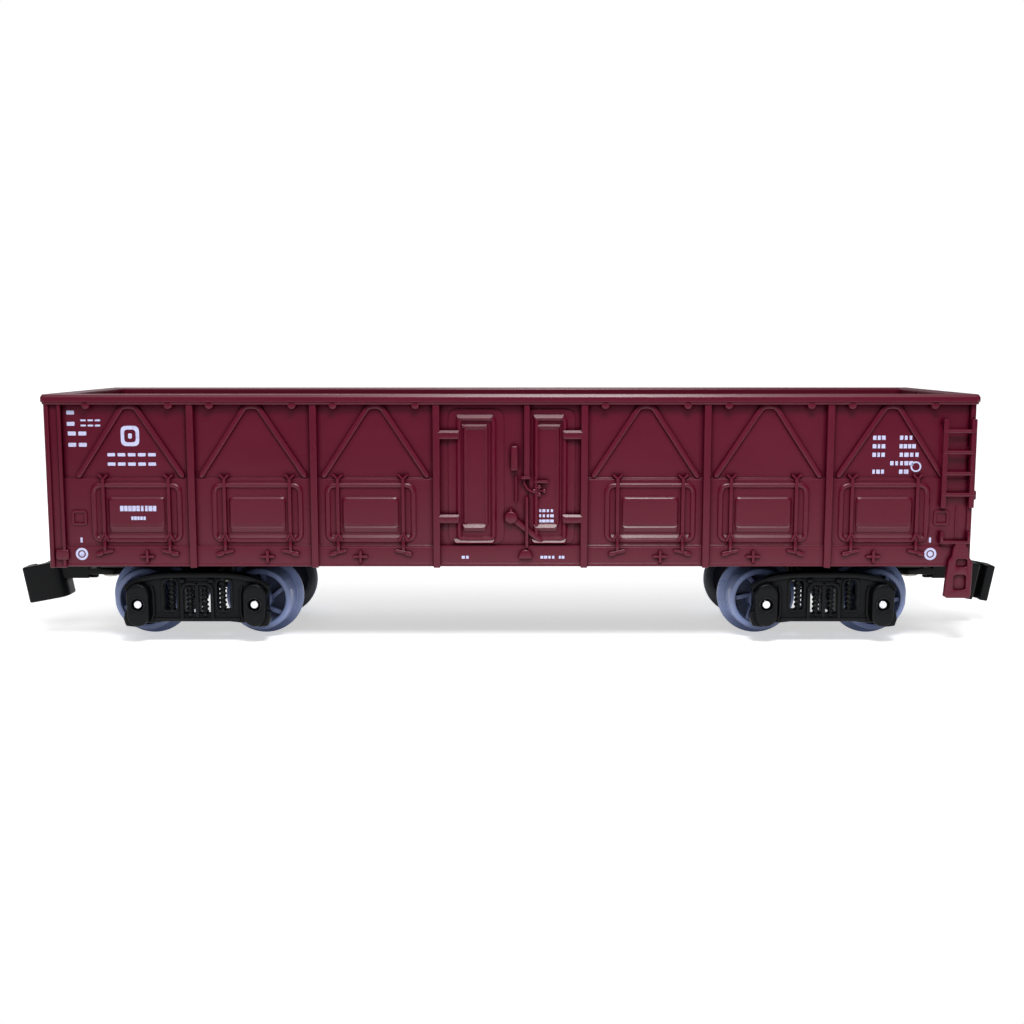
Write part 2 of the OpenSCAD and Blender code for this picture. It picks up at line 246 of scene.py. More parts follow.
class Mould:
    """Closed solids gathered in one mesh, drawn in millimetres."""

    def __init__(self, place=Matrix()):
        self.mesh = bmesh.new()
        self.place = place

    def add(self, points, faces, turn=Matrix()):
        """Adds one closed solid."""
        corners = [self.mesh.verts.new(self.place @ (turn @ Vector(point))) for point in points]
        made = [self.mesh.faces.new([corners[i] for i in face]) for face in faces]
        bmesh.ops.recalc_face_normals(self.mesh, faces=made)

    def take(self, solid, turn=Matrix()):
        """Adds a solid that was made on its own."""
        solid.verts.index_update()
        self.add([v.co.copy() for v in solid.verts], [[v.index for v in f.verts] for f in solid.faces], turn)
        solid.free()

    def block(self, low, high, edge=0.1, steps=2, turn=Matrix()):
        """A box with rounded edges."""
        solid = bmesh.new()
        bmesh.ops.create_cube(solid, size=1)
        size = Vector(high) - Vector(low)
        bmesh.ops.scale(solid, vec=size, verts=solid.verts)
        bmesh.ops.translate(solid, vec=(Vector(high) + Vector(low)) / 2, verts=solid.verts)
        bmesh.ops.bevel(solid, geom=solid.edges[:], offset=min(edge, min(size) * 0.45), segments=steps,
                        profile=0.5, affect="EDGES", clamp_overlap=True)
        self.take(solid, turn)

    def blocks(self, *rows):
        """Several boxes, each with its own edge and steps."""
        for row in rows:
            self.block(*row)

    def plate(self, outlines, low, high, edge=0.1, steps=2, facing="Y", turn=Matrix()):
        """A flat plate with rounded edges. The first outline is its shape, later ones are holes.

        Facing Y it stands in the XZ plane, facing X in the YZ plane, facing Z it lies in the XY plane."""
        solid = curve_solid(outlines, True, dimensions="2D", fill_mode="BOTH", extrude=(high - low) / 2 - edge,
                            bevel_depth=edge, bevel_resolution=steps - 1, offset=-edge)
        self.take(solid, turn @ stood(facing, (low + high) / 2))

    def rod(self, path, radius):
        """A round rod along a path of points."""
        self.take(curve_solid([path], False, dimensions="3D", bevel_depth=radius, bevel_resolution=3,
                              use_fill_caps=True))

    def ridge(self, path, width, height, base, shape=SQUARE_BAR, closed=False):
        """A raised ridge along a path, standing towards -Y out of a face at that depth, with round ends."""
        sections = ridge_sections([Vector(p) for p in path], width / 2, closed)
        points = [(at.x + across.x * 2 * u, -base - height * v, at.y + across.y * 2 * u)
                  for at, across in sections for u, v in shape]
        self.skin(points, len(sections), len(shape), closed)

    def skin(self, points, rows, columns, closed, turn=Matrix()):
        """Joins rows of points into a tube, with flat ends unless it is closed on itself."""
        faces = []
        for row in range(rows if closed else rows - 1):
            here, there = row * columns, (row + 1) % rows * columns
            for i in range(columns):
                j = (i + 1) % columns
                faces.append((here + i, here + j, there + j, there + i))
        if not closed:
            faces.append(tuple(range(columns)))
            faces.append(tuple(range((rows - 1) * columns, rows * columns)))
        self.add(points, faces, turn)

    def pressed(self, outline, inset, base, rise):
        """A panel pressed out of a face at that depth: its edges slope in to a smaller flat top."""
        middle = [sum(values) / len(outline) for values in zip(*outline)]
        rows = []
        for share, depth in ((0, base - 0.25), (0, base), (0.2, base + rise * 0.35), (0.75, base + rise * 0.92),
                             (1, base + rise)):
            for x, z in outline:
                dx = (inset[0] if x < middle[0] else -inset[1]) * share
                dz = (inset[2] if z < middle[1] else -inset[3]) * share
                rows.append((x + dx, -depth, z + dz))
        self.skin(rows, 5, len(outline), False)

    def lathe(self, profile, turn=Matrix(), steps=48, closed=True):
        """A turned solid about its own Z axis, from (radius, height) points: a ring, or filled to its axis."""
        columns = len(profile)
        points = [(r * math.cos(a), r * math.sin(a), z)
                  for a in (2 * math.pi * i / steps for i in range(steps)) for r, z in profile]
        if closed:
            self.skin(points, steps, columns, True, turn)
            return
        solid = bmesh.new()
        rows = [[solid.verts.new(p) for p in points[i * columns:(i + 1) * columns]] for i in range(steps)]
        for row, following in zip(rows, rows[1:] + rows[:1]):
            for j in range(columns - 1):
                solid.faces.new((row[j], row[j + 1], following[j + 1], following[j]))
        bmesh.ops.remove_doubles(solid, verts=solid.verts, dist=1e-5)
        self.take(solid, turn)

    def piece(self, name, finish, body, replaces=(), sharp=38):
        """The finished piece, in metres, riding on its body."""
        material, slot = finish
        mesh = bpy.data.meshes.new(name)
        bmesh.ops.scale(self.mesh, vec=(MM, MM, MM), verts=self.mesh.verts)
        self.mesh.to_mesh(mesh)
        self.mesh.free()
        mesh.polygons.foreach_set("use_smooth", [True] * len(mesh.polygons))
        mesh.set_sharp_from_angle(angle=math.radians(sharp))
        mesh.materials.append(material)
        made = in_scene(name, mesh)
        made.modifiers.new("even_normals", "WEIGHTED_NORMAL").keep_sharp = True
        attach(made, body)
        if replaces:
            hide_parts(*replaces)


def stood(facing, middle):
    """The turn and shift that stands a flat plate up, facing along an axis."""
    if facing == "Y":
        return moved(0, middle, 0) @ turned(90, "X")
    if facing == "X":
        return moved(middle, 0, 0) @ Matrix(((0, 0, 1, 0), (1, 0, 0, 0), (0, 1, 0, 0), (0, 0, 0, 1)))
    return moved(0, 0, middle)


def curve_solid(paths, cyclic, **settings):
    """The closed mesh of a filled or bevelled curve through these points."""
    data = bpy.data.curves.new("curve", "CURVE")
    for label, value in settings.items():
        setattr(data, label, value)
    for path in paths:
        spline = data.splines.new("POLY")
        spline.points.add(len(path) - 1)
        for point, place in zip(spline.points, path):
            point.co = (*place, 0)[:3] + (1,)
        spline.use_cyclic_u = cyclic
    solid = evaluated(in_scene("holder", data))
    bmesh.ops.remove_doubles(solid, verts=solid.verts, dist=1e-4)
    bpy.data.curves.remove(data)
    return solid


def evaluated(holder):
    """The mesh that an object evaluates to; the object is removed."""
    mesh = bpy.data.meshes.new_from_object(holder.evaluated_get(bpy.context.evaluated_depsgraph_get()))
    solid = bmesh.new()
    solid.from_mesh(mesh)
    for maker in list(holder.modifiers):
        holder.modifiers.remove(maker)
    bpy.data.objects.remove(holder)
    bpy.data.meshes.remove(mesh)
    return solid


def ridge_sections(path, half, closed):
    """The place and the half-width vector of each cross-section along a path."""
    sections = []
    last = len(path) - 1
    for i, at in enumerate(path):
        came = (at - path[i - 1]).normalized() if closed or i > 0 else None
        goes = (path[(i + 1) % len(path)] - at).normalized() if closed or i < last else None
        came, goes = came or goes, goes or came
        along = (came + goes).normalized()
        across = Vector((-along.y, along.x)) * half / max(0.4, along.dot(came))
        sections.append((at, across))
    if closed:
        return sections
    ends = []
    for at, across, inner in ((path[0], sections[0][1], path[1]), (path[-1], sections[-1][1], path[-2])):
        away = (at - inner).normalized() * half
        ends.append([(at + away * math.sin(t), across * math.cos(t)) for t in (0.55, 1.0, 1.35)])
    return ends[0][::-1] + sections + ends[1]


# ---- Node groups for materials ----

def tint(red, green, blue):
    """A linear colour from display values of 0 to 255."""
    def linear(value):
        value /= 255
        return value / 12.92 if value <= 0.04045 else ((value + 0.055) / 1.055) ** 2.4
    return (linear(red), linear(green), linear(blue), 1)


def noise(tree, vector, scale, detail=3.0, rough=0.5):
    return node(tree, "ShaderNodeTexNoise", {
        "Vector": vector, "Scale": scale, "Detail": detail, "Roughness": rough}).outputs["Fac"]


def sums(tree, operation, first, second=0.0, clamp=False):
    return node(tree, "ShaderNodeMath", {0: first, 1: second}, operation=operation, use_clamp=clamp).outputs[0]


def times(tree, first, second):
    return sums(tree, "MULTIPLY", first, second)


def spread(tree, value, low, high, to_low=0.0, to_high=1.0):
    """Maps one range of a value on to another, and holds it there."""
    return node(tree, "ShaderNodeMapRange", {
        "Value": value, "From Min": low, "From Max": high, "To Min": to_low, "To Max": to_high}).outputs["Result"]


def mixed(tree, share, first, second):
    """One colour over another by a mask."""
    return node(tree, "ShaderNodeMix", {"Factor": share, 6: first, 7: second}, data_type="RGBA").outputs[2]


def bumped(tree, height, strength, depth):
    return node(tree, "ShaderNodeBump", {
        "Strength": strength, "Distance": depth, "Height": height}).outputs["Normal"]


def object_place(tree, stretch=(1, 1, 1)):
    """Object coordinates, stretched."""
    where = node(tree, "ShaderNodeTexCoord").outputs["Object"]
    return node(tree, "ShaderNodeMapping", {"Scale": stretch, "Vector": where}).outputs["Vector"]


def true_normal(tree):
    return node(tree, "ShaderNodeNewGeometry").outputs["Normal"]


def parts_of(tree, vector):
    return node(tree, "ShaderNodeSeparateXYZ", {"Vector": vector}).outputs


def shader_group(name, inputs, outputs):
    """A shader group of plain numbers, with named inputs and outputs."""
    group = bpy.data.node_groups.new(name, "ShaderNodeTree")
    for label, default in inputs.items():
        socket = group.interface.new_socket(label, in_out="INPUT", socket_type="NodeSocketFloat")
        socket.default_value = default
    for label in outputs:
        group.interface.new_socket(label, in_out="OUTPUT", socket_type="NodeSocketFloat")
    return group, node(group, "NodeGroupInput").outputs, node(group, "NodeGroupOutput")


def moulded_grain_group():
    """Fine grain of a mould, long flow marks and a slow change of tone."""
    group, given, result = shader_group(
        "moulded_grain", {"Grain Scale": 5200.0, "Flow Scale": 90.0, "Flow Share": 0.35}, ["Height", "Tone"])
    grain = noise(group, object_place(group), given["Grain Scale"], 2.0)
    flow = noise(group, object_place(group, (0.35, 1, 1.6)), given["Flow Scale"], 4.0, 0.55)
    slow = noise(group, object_place(group), 38.0, 2.0)
    blend = sums(group, "ADD", times(group, flow, 0.55), times(group, slow, 0.45))
    wire(group, result, {"Height": sums(group, "ADD", grain, times(group, flow, given["Flow Share"])),
                         "Tone": spread(group, blend, 0.32, 0.68)})
    return group


def wear_highlight_and_shade_group():
    """Where corners stand out, paler as wear and as painted highlight, broken up by noise, and where surfaces fold
    in, a mask for painted shade.
    """
    group, given, result = shader_group(
        "edge_wear_highlight_and_shade", {"Break Up": 900.0, "Edge Width": 0.00014, "Crease Width": 0.0009}, ["Edge", "Crease"])
    corner = node(group, "ShaderNodeBevel", {"Radius": given["Edge Width"]}, samples=4).outputs["Normal"]
    facing = node(group, "ShaderNodeVectorMath", {0: corner, 1: true_normal(group)}, operation="DOT_PRODUCT")
    # Ambient occlusion in folds: the mask for painted shade
    around = node(group, "ShaderNodeAmbientOcclusion", {"Distance": given["Crease Width"]}, samples=6)
    patches = noise(group, object_place(group), given["Break Up"], 3.0)
    out = spread(group, facing.outputs["Value"], 0.97, 0.72)
    # Paler corners: partly wear, partly painted highlight
    worn_and_lit_edge = times(group, out, spread(group, around.outputs["AO"], 0.7, 0.95))
    wire(group, result, {"Edge": times(group, worn_and_lit_edge, spread(group, patches, 0.3, 0.6)),
                         "Crease": spread(group, around.outputs["AO"], 0.94, 0.45)})
    return group


def dust_group():
    """Fine dust that lies on faces turned up, thicker in patches."""
    group, given, result = shader_group("settled_dust", {"Amount": 0.3, "Patch Scale": 160.0}, ["Mask"])
    up = spread(group, parts_of(group, true_normal(group))["Z"], 0.2, 1.0)
    patches = noise(group, object_place(group), given["Patch Scale"], 5.0, 0.65)
    speck = spread(group, noise(group, object_place(group), 2600.0, 1.0), 0.66, 0.72)
    film = times(group, up, spread(group, patches, 0.4, 0.75))
    both = sums(group, "ADD", film, times(group, speck, 0.35))
    wire(group, result, {"Mask": sums(group, "MULTIPLY", both, given["Amount"], True)})
    return group


GRAIN = moulded_grain_group()
WEAR_HIGHLIGHT_AND_SHADE = wear_highlight_and_shade_group()
DUST = dust_group()


def use_group(tree, group, inputs={}):
    return node(tree, "ShaderNodeGroup", inputs, node_tree=group).outputs


def fold_painted_shade(tree, crease, share, colour, base, depth):
    """A colour that turns to a darker tone of its base where surfaces fold in: painted shade."""
    shade = tuple(value * depth for value in base[:3]) + (1,)
    return mixed(tree, times(tree, crease, share), colour, shade)


def painted_shade_on_wheel(tree):
    """A mask for painted shade on a wheel's inner face and on its sunk web, told from its rim by place and
    direction.
    """
    y = parts_of(tree, object_place(tree))["Y"]
    away = times(tree, parts_of(tree, true_normal(tree))["Y"], sums(tree, "SIGN", y))
    out = sums(tree, "ABSOLUTE", y)
    web = times(tree, spread(tree, out, 0.0120, 0.0113), spread(tree, out, 0.0094, 0.0096))
    web = times(tree, web, spread(tree, away, 0.5, 0.9, 0.0, 0.7))
    return sums(tree, "MAXIMUM", spread(tree, away, -0.2, -0.6), web)


def plastic(name, deep, light, worn_and_lit, dust_tone, rough=(0.26, 0.36), bump=0.1, dust=0.03, wear_and_highlight=0.6,
            flow=90.0, shine=0.32, crease=0.0009, painted_back_shade=None):
    """Moulded plastic: two close tones, paler corners of wear and painted highlight, painted shade in folds, a
    little dust and a fine grain.
    """
    material, tree, shader = new_material(name)
    grain = use_group(tree, GRAIN, {"Flow Scale": flow})
    edges = use_group(tree, WEAR_HIGHLIGHT_AND_SHADE, {"Crease Width": crease})
    lying = use_group(tree, DUST, {"Amount": dust})["Mask"]
    colour = mixed(tree, grain["Tone"], deep, light)
    # Paler corners: wear and painted highlight
    colour = mixed(tree, times(tree, edges["Edge"], wear_and_highlight), colour, worn_and_lit)
    # Painted shade where surfaces fold in
    colour = fold_painted_shade(tree, edges["Crease"], 0.85, colour, deep, 0.3)
    colour = mixed(tree, lying, colour, dust_tone)
    # Painted shade on a wheel's inner faces and sunk web
    if painted_back_shade:
        colour = mixed(tree, painted_shade_on_wheel(tree), colour, painted_back_shade)
    base = spread(tree, grain["Tone"], 0.0, 1.0, *rough)
    wire(tree, shader, {
        "Base Color": colour,
        "Roughness": sums(tree, "ADD", base, times(tree, lying, 0.5), True),
        "Normal": bumped(tree, grain["Height"], bump, 0.00003),
        "Specular IOR Level": spread(tree, edges["Crease"], 0.0, 0.8, shine, shine * 0.1)})
    return material


def steel(name, pale, dark, rough=(0.18, 0.34), stretch=(1, 1, 1), scale=1500.0):
    """Bare steel: fine lines of its finish, a slow change of brightness, and painted shade in its folds."""
    material, tree, shader = new_material(name)
    lines = noise(tree, object_place(tree, stretch), scale, 3.0, 0.6)
    slow = noise(tree, object_place(tree), 240.0, 3.0)
    colour = mixed(tree, spread(tree, slow, 0.35, 0.65), dark, pale)
    wire(tree, shader, {
        # Painted shade where surfaces fold in
        "Base Color": fold_painted_shade(tree, use_group(tree, WEAR_HIGHLIGHT_AND_SHADE)["Crease"], 0.7, colour, dark, 0.4),
        "Roughness": spread(tree, lines, 0.3, 0.7, *rough),
        "Normal": bumped(tree, lines, 0.15, 0.00002),
        "Metallic": 1.0})
    return material


def print_ink():
    """Pad-printed marks, a little thin in places."""
    material, tree, shader = new_material("white_print")
    thin = noise(tree, object_place(tree), 1700.0, 3.0)
    share = spread(tree, thin, 0.55, 0.75, 0.0, 0.55)
    wire(tree, shader, {"Base Color": mixed(tree, share, tint(180, 182, 214), tint(130, 96, 134)),
                        "Roughness": spread(tree, thin, 0.3, 0.7, 0.35, 0.55)})
    return material


# Each finish with its material slot
# The third tint of each plastic colours worn corners and also paints their highlight
MAROON = (plastic("maroon_plastic", tint(76, 5, 28), tint(81, 8, 31), tint(136, 40, 62), tint(140, 110, 120)),
          "maroon_plastic")
BLACK = (plastic("black_plastic", tint(9, 10, 11), tint(14, 15, 17), tint(64, 66, 70), tint(90, 90, 90),
                 rough=(0.26, 0.4), bump=0.2, wear_and_highlight=0.5, shine=0.12), "black_plastic")
# Wheel plastic: a wide crease mask deepens the painted shade in the web, and a near-black tint paints shade on
# inner faces and web
BLUE = (plastic("wheel_plastic", tint(112, 126, 168), tint(126, 140, 180), tint(190, 200, 224),
                tint(150, 150, 160), rough=(0.2, 0.3), bump=0.08, wear_and_highlight=0.5, flow=200.0, shine=0.5,
                crease=0.0042, painted_back_shade=tint(26, 28, 38)), "blue_grey_plastic")
AXLE_STEEL = (steel("axle_steel", tint(236, 236, 240), tint(206, 207, 212)), "bright_steel")
SCREW_STEEL = (steel("screw_steel", tint(196, 194, 186), tint(160, 158, 150), (0.25, 0.42), scale=900.0),
               "plated_steel")
PLATE_STEEL = (steel("plate_steel", tint(140, 140, 142), tint(110, 108, 108), (0.35, 0.55), (0.05, 1, 1),
                     2200.0), "steel_plate")
INK = (print_ink(), "white_print")


# ---- Geometry Nodes for what repeats ----

def geometry_tree(name, inputs, draw):
    """A geometry tree with named inputs, which ends in real geometry with its material."""
    kinds = {int: "NodeSocketInt", float: "NodeSocketFloat", tuple: "NodeSocketVector"}
    tree = bpy.data.node_groups.new(name, "GeometryNodeTree")
    for label, default in inputs.items():
        tree.interface.new_socket(label, in_out="INPUT", socket_type=kinds[type(default)]).default_value = default
    tree.interface.new_socket("Material", in_out="INPUT", socket_type="NodeSocketMaterial")
    tree.interface.new_socket("Geometry", in_out="OUTPUT", socket_type="NodeSocketGeometry")
    given = node(tree, "NodeGroupInput").outputs
    real = node(tree, "GeometryNodeRealizeInstances", {"Geometry": draw(tree, given)})
    dressed = node(tree, "GeometryNodeSetMaterial", {
        "Geometry": real.outputs["Geometry"], "Material": given["Material"]})
    node(tree, "NodeGroupOutput", {"Geometry": dressed.outputs["Geometry"]})
    return tree


def along_line(tree, given):
    """Points on a straight line, ends included."""
    return node(tree, "GeometryNodeMeshLine", {
        "Count": given["Count"], "Start Location": given["Start"], "Offset": given["End"]},
        mode="END_POINTS").outputs["Mesh"]


def combined(tree, x=0.0, y=0.0, z=0.0):
    return node(tree, "ShaderNodeCombineXYZ", {"X": x, "Y": y, "Z": z}).outputs["Vector"]


def at_points(tree, points, shape, **more):
    """A copy of a shape at every point."""
    return node(tree, "GeometryNodeInstanceOnPoints", {
        "Points": points, "Instance": shape.outputs["Mesh"], **more}).outputs["Instances"]


def draw_coil(tree, given):
    """A helical spring: radius, wire, height and turns."""
    helix = node(tree, "GeometryNodeCurveSpiral", {
        "Resolution": 16, "Rotations": given["Turns"], "Start Radius": given["Coil Radius"],
        "End Radius": given["Coil Radius"], "Height": given["Height"]})
    round_wire = node(tree, "GeometryNodeCurvePrimitiveCircle", {
        "Resolution": 8, "Radius": given["Wire Radius"]})
    return node(tree, "GeometryNodeCurveToMesh", {
        "Curve": helix.outputs["Curve"], "Profile Curve": round_wire.outputs["Curve"],
        "Fill Caps": True}).outputs["Mesh"]


def draw_rivets(tree, given):
    """A row of round rivet heads from one point to another."""
    head = node(tree, "GeometryNodeMeshUVSphere", {"Segments": 10, "Rings": 6, "Radius": 1.0})
    size = combined(tree, given["Head Radius"], given["Head Radius"], given["Head Height"])
    return at_points(tree, along_line(tree, given), head, Rotation=given["Turn"], Scale=size)


def draw_dashes(tree, given):
    """A printed row of short blocks of uneven length, with a fixed seed."""
    uneven = node(tree, "FunctionNodeRandomValue", {2: 0.55, 3: 1.0, "Seed": given["Seed"]}, data_type="FLOAT")
    width = times(tree, given["Length"], uneven.outputs[1])
    size = combined(tree, width, given["Thickness"], given["Height"])
    return at_points(tree, along_line(tree, given), node(tree, "GeometryNodeMeshCube"), Scale=size)


def draw_ribs(tree, given):
    """Slanted ribs set round the web of a wheel."""
    ring = node(tree, "GeometryNodeMeshCircle", {"Vertices": given["Ribs"], "Radius": given["Middle Radius"]})
    size = combined(tree, given["Rib Length"], given["Rib Width"], given["Rib Height"])
    index = node(tree, "GeometryNodeInputIndex").outputs["Index"]
    share = sums(tree, "DIVIDE", index, given["Ribs"])
    angle = node(tree, "ShaderNodeMath", {0: share, 1: 2 * math.pi, 2: given["Slant"]}, operation="MULTIPLY_ADD")
    return at_points(tree, ring.outputs["Mesh"], node(tree, "GeometryNodeMeshCube", {"Size": size}),
                     Rotation=combined(tree, z=angle.outputs[0]))


COIL = geometry_tree("spring_coil", {
    "Coil Radius": 0.5, "Wire Radius": 0.2, "Height": 5.0, "Turns": 5.0}, draw_coil)
RIVETS = geometry_tree("rivet_row", {
    "Count": 8, "Start": (0, 0, 0), "End": (1, 0, 0), "Head Radius": 0.2, "Head Height": 0.12,
    "Turn": (0, 0, 0)}, draw_rivets)
DASHES = geometry_tree("dash_row", {
    "Count": 6, "Start": (0, 0, 0), "End": (1, 0, 0), "Length": 1.0, "Height": 0.8, "Thickness": 0.04,
    "Seed": 1}, draw_dashes)
RIBS = geometry_tree("wheel_ribs", {
    "Ribs": 8, "Middle Radius": 3.0, "Rib Length": 2.4, "Rib Width": 0.5, "Rib Height": 1.0,
    "Slant": 0.3}, draw_ribs)


def repeated(tree, finish, **values):
    """The plain mesh that a geometry tree makes with these inputs."""
    holder = in_scene("holder", bpy.data.meshes.new("holder"))
    maker = holder.modifiers.new("maker", "NODES")
    maker.node_group = tree
    names = {item.name: item.identifier for item in tree.interface.items_tree if item.in_out == "INPUT"}
    maker[names["Material"]] = finish[0]
    for label, value in values.items():
        maker[names[label.replace("_", " ")]] = value
    return evaluated(holder)


# ---- The wagon body ----

def tub(mould):
    """The four walls with their crowned rim, as one ring around the wagon, and the floor."""
    wall = SHEET_Y - INNER_Y
    profile = [
        (0, SILL_Z + 0.1), (0, RIM_Z - 0.5), (0.12, RIM_Z - 0.24), (0.45, RIM_Z - 0.06), (1.0, RIM_Z),
        (1.9, RIM_Z - 0.01), (2.24, RIM_Z - 0.06), (2.37, RIM_Z - 0.3), (2.46, RIM_Z - 0.42), (2.5, RIM_Z - 0.54),
        (2.5, RIM_Z - 1.14), (2.46, RIM_Z - 1.22), (2.32, RIM_Z - 1.26), (2.32, RIM_Z - 1.46),
        (2.26, RIM_Z - 1.58), (2.12, RIM_UNDER), (wall, RIM_UNDER), (wall, SILL_Z), (0.1, SILL_Z)]
    past_wall = (RIM_X - END_X) / (HALF_W - SHEET_Y)
    points = []
    for quarter, (sx, sy) in enumerate(((1, 1), (-1, 1), (-1, -1), (1, -1))):
        for turn, slip in ((0, -0.3), (0, 0), (30, 0), (60, 0), (90, 0), (90, 0.3)):
            angle = math.radians(90 * quarter + turn)
            for out, height in profile:
                reach = min(out, wall) + max(0, out - wall) * past_wall
                radius = 0.12 + 0.12 * out
                points.append((sx * (INNER_X + reach - radius) + radius * math.cos(angle) - slip * math.sin(angle),
                               sy * (INNER_Y + out - radius) + radius * math.sin(angle) + slip * math.cos(angle),
                               height))
    mould.skin(points, 24, len(profile), True)
    mould.block((-INNER_X - 0.1, -INNER_Y - 0.1, FLOOR_Z - 1), (INNER_X + 0.1, INNER_Y + 0.1, FLOOR_Z), 0.02, 1)


def load_floor(mould):
    """Seams across the floor, the round marks of the mould's pins and a fillet round the edge."""
    def strip(x0, x1, y0, y1, rise, edge):
        mould.block((x0, y0, FLOOR_Z - 0.1), (x1, y1, FLOOR_Z + rise), edge)

    for bay in range(-3, 4):
        strip(bay * BAY_W - 0.15, bay * BAY_W + 0.15, -INNER_Y, INNER_Y, 0.09, 0.06)
    ring = [(1.5, -0.1), (1.5, 0.05), (1.6, 0.08), (1.7, 0.05), (1.7, -0.1)]
    for bay in range(-3, 3):
        for y in (-9.5, 9.5):
            mould.lathe(ring, moved((bay + 0.5) * BAY_W, y, FLOOR_Z), 32)
    for side in SIDES:
        strip(-INNER_X, INNER_X, side * INNER_Y - 0.25, side * INNER_Y + 0.25, 0.3, 0.12)
    for side in SIDES:
        strip(side * INNER_X - 0.25, side * INNER_X + 0.25, -INNER_Y, INNER_Y, 0.3, 0.12)


def lower_panels(mould):
    """The thicker sheet of the lower side, on both sides of the door, and the sill with its lip."""
    inside = -SHEET_Y + 0.5
    for side in SIDES:
        x0, x1 = sorted((side * DOOR_HALF, side * (END_X + 0.2)))
        mould.plate([rect(x0, x1, SILL_TOP - 0.3, LEDGE_Z)], -PANEL_Y, inside, 0.24)
        ledge(mould, x0, x1, LEDGE_Z + 0.03, 0.32, SHEET_Y + 0.1, 0.3)
        ledge(mould, x0, x1, SILL_TOP + 0.22, 0.36, PANEL_Y + 0.02, 0.3)
    mould.plate([rect(-END_X - 0.4, END_X + 0.4, SILL_Z + 0.1, SILL_TOP + 0.15)], -SILL_Y, inside, 0.22, 2)
    mould.block((-END_X - 0.4, -SILL_Y - 0.04, SILL_Z - 0.14), (END_X + 0.4, inside, SILL_Z + 0.5), 0.2, 3)


def side_posts(mould):
    for bay in range(3):
        for side in SIDES:
            x = side * (DOOR_HALF + bay * BAY_W)
            mould.block((x - 0.56, -POST_Y, POST_FOOT), (x + 0.56, -INNER_Y - 0.4, POST_TOP), 0.2, 3)


def brace(mould, x):
    """An inverted V of one bent bar, and the two half-round lugs under the rim beside its top."""
    half = [(-8.1, LEDGE_Z + 0.45), (-1.5, 37.5), (-1.2, 37.95), (-0.75, 38.22), (0, 38.32)]
    path = half + [(-a, b) for a, b in half[-2::-1]]
    mould.ridge([(x + a, b) for a, b in path], 0.86, 0.42, SHEET_Y)
    for side in SIDES:
        mould.plate([circle(x + side * 6.45, RIM_UNDER - 0.05, 0.62)], -POST_Y - 0.22, ROOT_Y, 0.14, 3)


def hatch(mould, x):
    """A drop hatch: a soft arched frame, a pressed panel, two hinge straps and their latches."""
    frame_line = rounded(rect(x - 6.78, x + 6.78, 17.1, 25.85), 1.3, 6)
    mould.ridge(frame_line, 0.95, 0.34, PANEL_Y, SOFT_RIDGE, closed=True)
    ledge(mould, x - 6.2, x + 6.2, 17.95, 0.45, PANEL_Y, 0.3)
    outline = rounded(rect(x - 4.5, x + 4.5, 19.05, 24.05), 0.7)
    mould.pressed(outline, (0.42, 0.42, 0.55, 0.42), PANEL_Y, 0.3)
    ledge(mould, x - 4.3, x + 4.3, 19.5, 0.4, PANEL_Y + 0.1, 0.7)
    for side in SIDES:
        hinge_strap(mould, x + side * 5.15, side)


def hinge_strap(mould, x, side):
    """A strap with a forked top, a splayed foot and a turned latch under it."""
    face = PANEL_Y + 0.42
    mould.block((x - 0.28, -face, 16.9), (x + 0.28, -PANEL_Y + 0.4, LEDGE_Z - 0.05), 0.14)
    for turn in SIDES:
        mould.ridge([(x, LEDGE_Z - 0.2), (x + turn * 0.6, LEDGE_Z + 0.4)], 0.42, 0.6, SHEET_Y)
        mould.ridge([(x + turn * 0.1, 18.05), (x + turn * 0.62, 17.15)], 0.42, 0.55, PANEL_Y)
    mould.block((x - 0.24, -SILL_Y - 0.3, SILL_TOP - 1.1), (x + 0.24, -SILL_Y + 0.3, SILL_TOP + 0.9), 0.12)
    mould.ridge([(x + side * 1.15, 14.95), (x + side * 0.3, 15.15), (x - side * 1.1, 15.45)], 0.5, 0.38, SILL_Y)
    mould.ridge([(x + side * 0.55, 15.02), (x + side * 1.05, 14.92)], 0.72, 0.46, SILL_Y)


def sill_cleat(mould, x):
    """A cross-shaped rope cleat on the sill."""
    mould.ridge([(x, 13.75), (x, 15.25)], 0.5, 0.5, SILL_Y)
    mould.ridge([(x - 0.95, 14.5), (x + 0.95, 14.5)], 0.44, 0.42, SILL_Y)


def bead(mould, x0, x1, z0, z1, radius, width, height, depth=SHEET_Y, shape=BEVELLED):
    """A closed rectangular bead with rounded corners."""
    mould.ridge(rounded(rect(x0, x1, z0, z1), radius, 5), width, height, depth, shape, closed=True)


def ledge(mould, x0, x1, top, drop, base, below):
    """A shelf that faces up and out, and fades back into the face below it."""
    rows = []
    for x, share in ((x0, 0.15), (x0 + 0.2, 0.8), (x0 + 0.45, 1), (x1 - 0.45, 1), (x1 - 0.2, 0.8), (x1, 0.15)):
        out = 0.68 * drop * share
        rows += [(x, -base + 0.2, top), (x, -base, top), (x, -base - out, top - drop * share),
                 (x, -base - out, top - drop * share - 0.08), (x, -base, top - drop - below),
                 (x, -base + 0.2, top - drop - below)]
    mould.skin(rows, 6, 6, False)


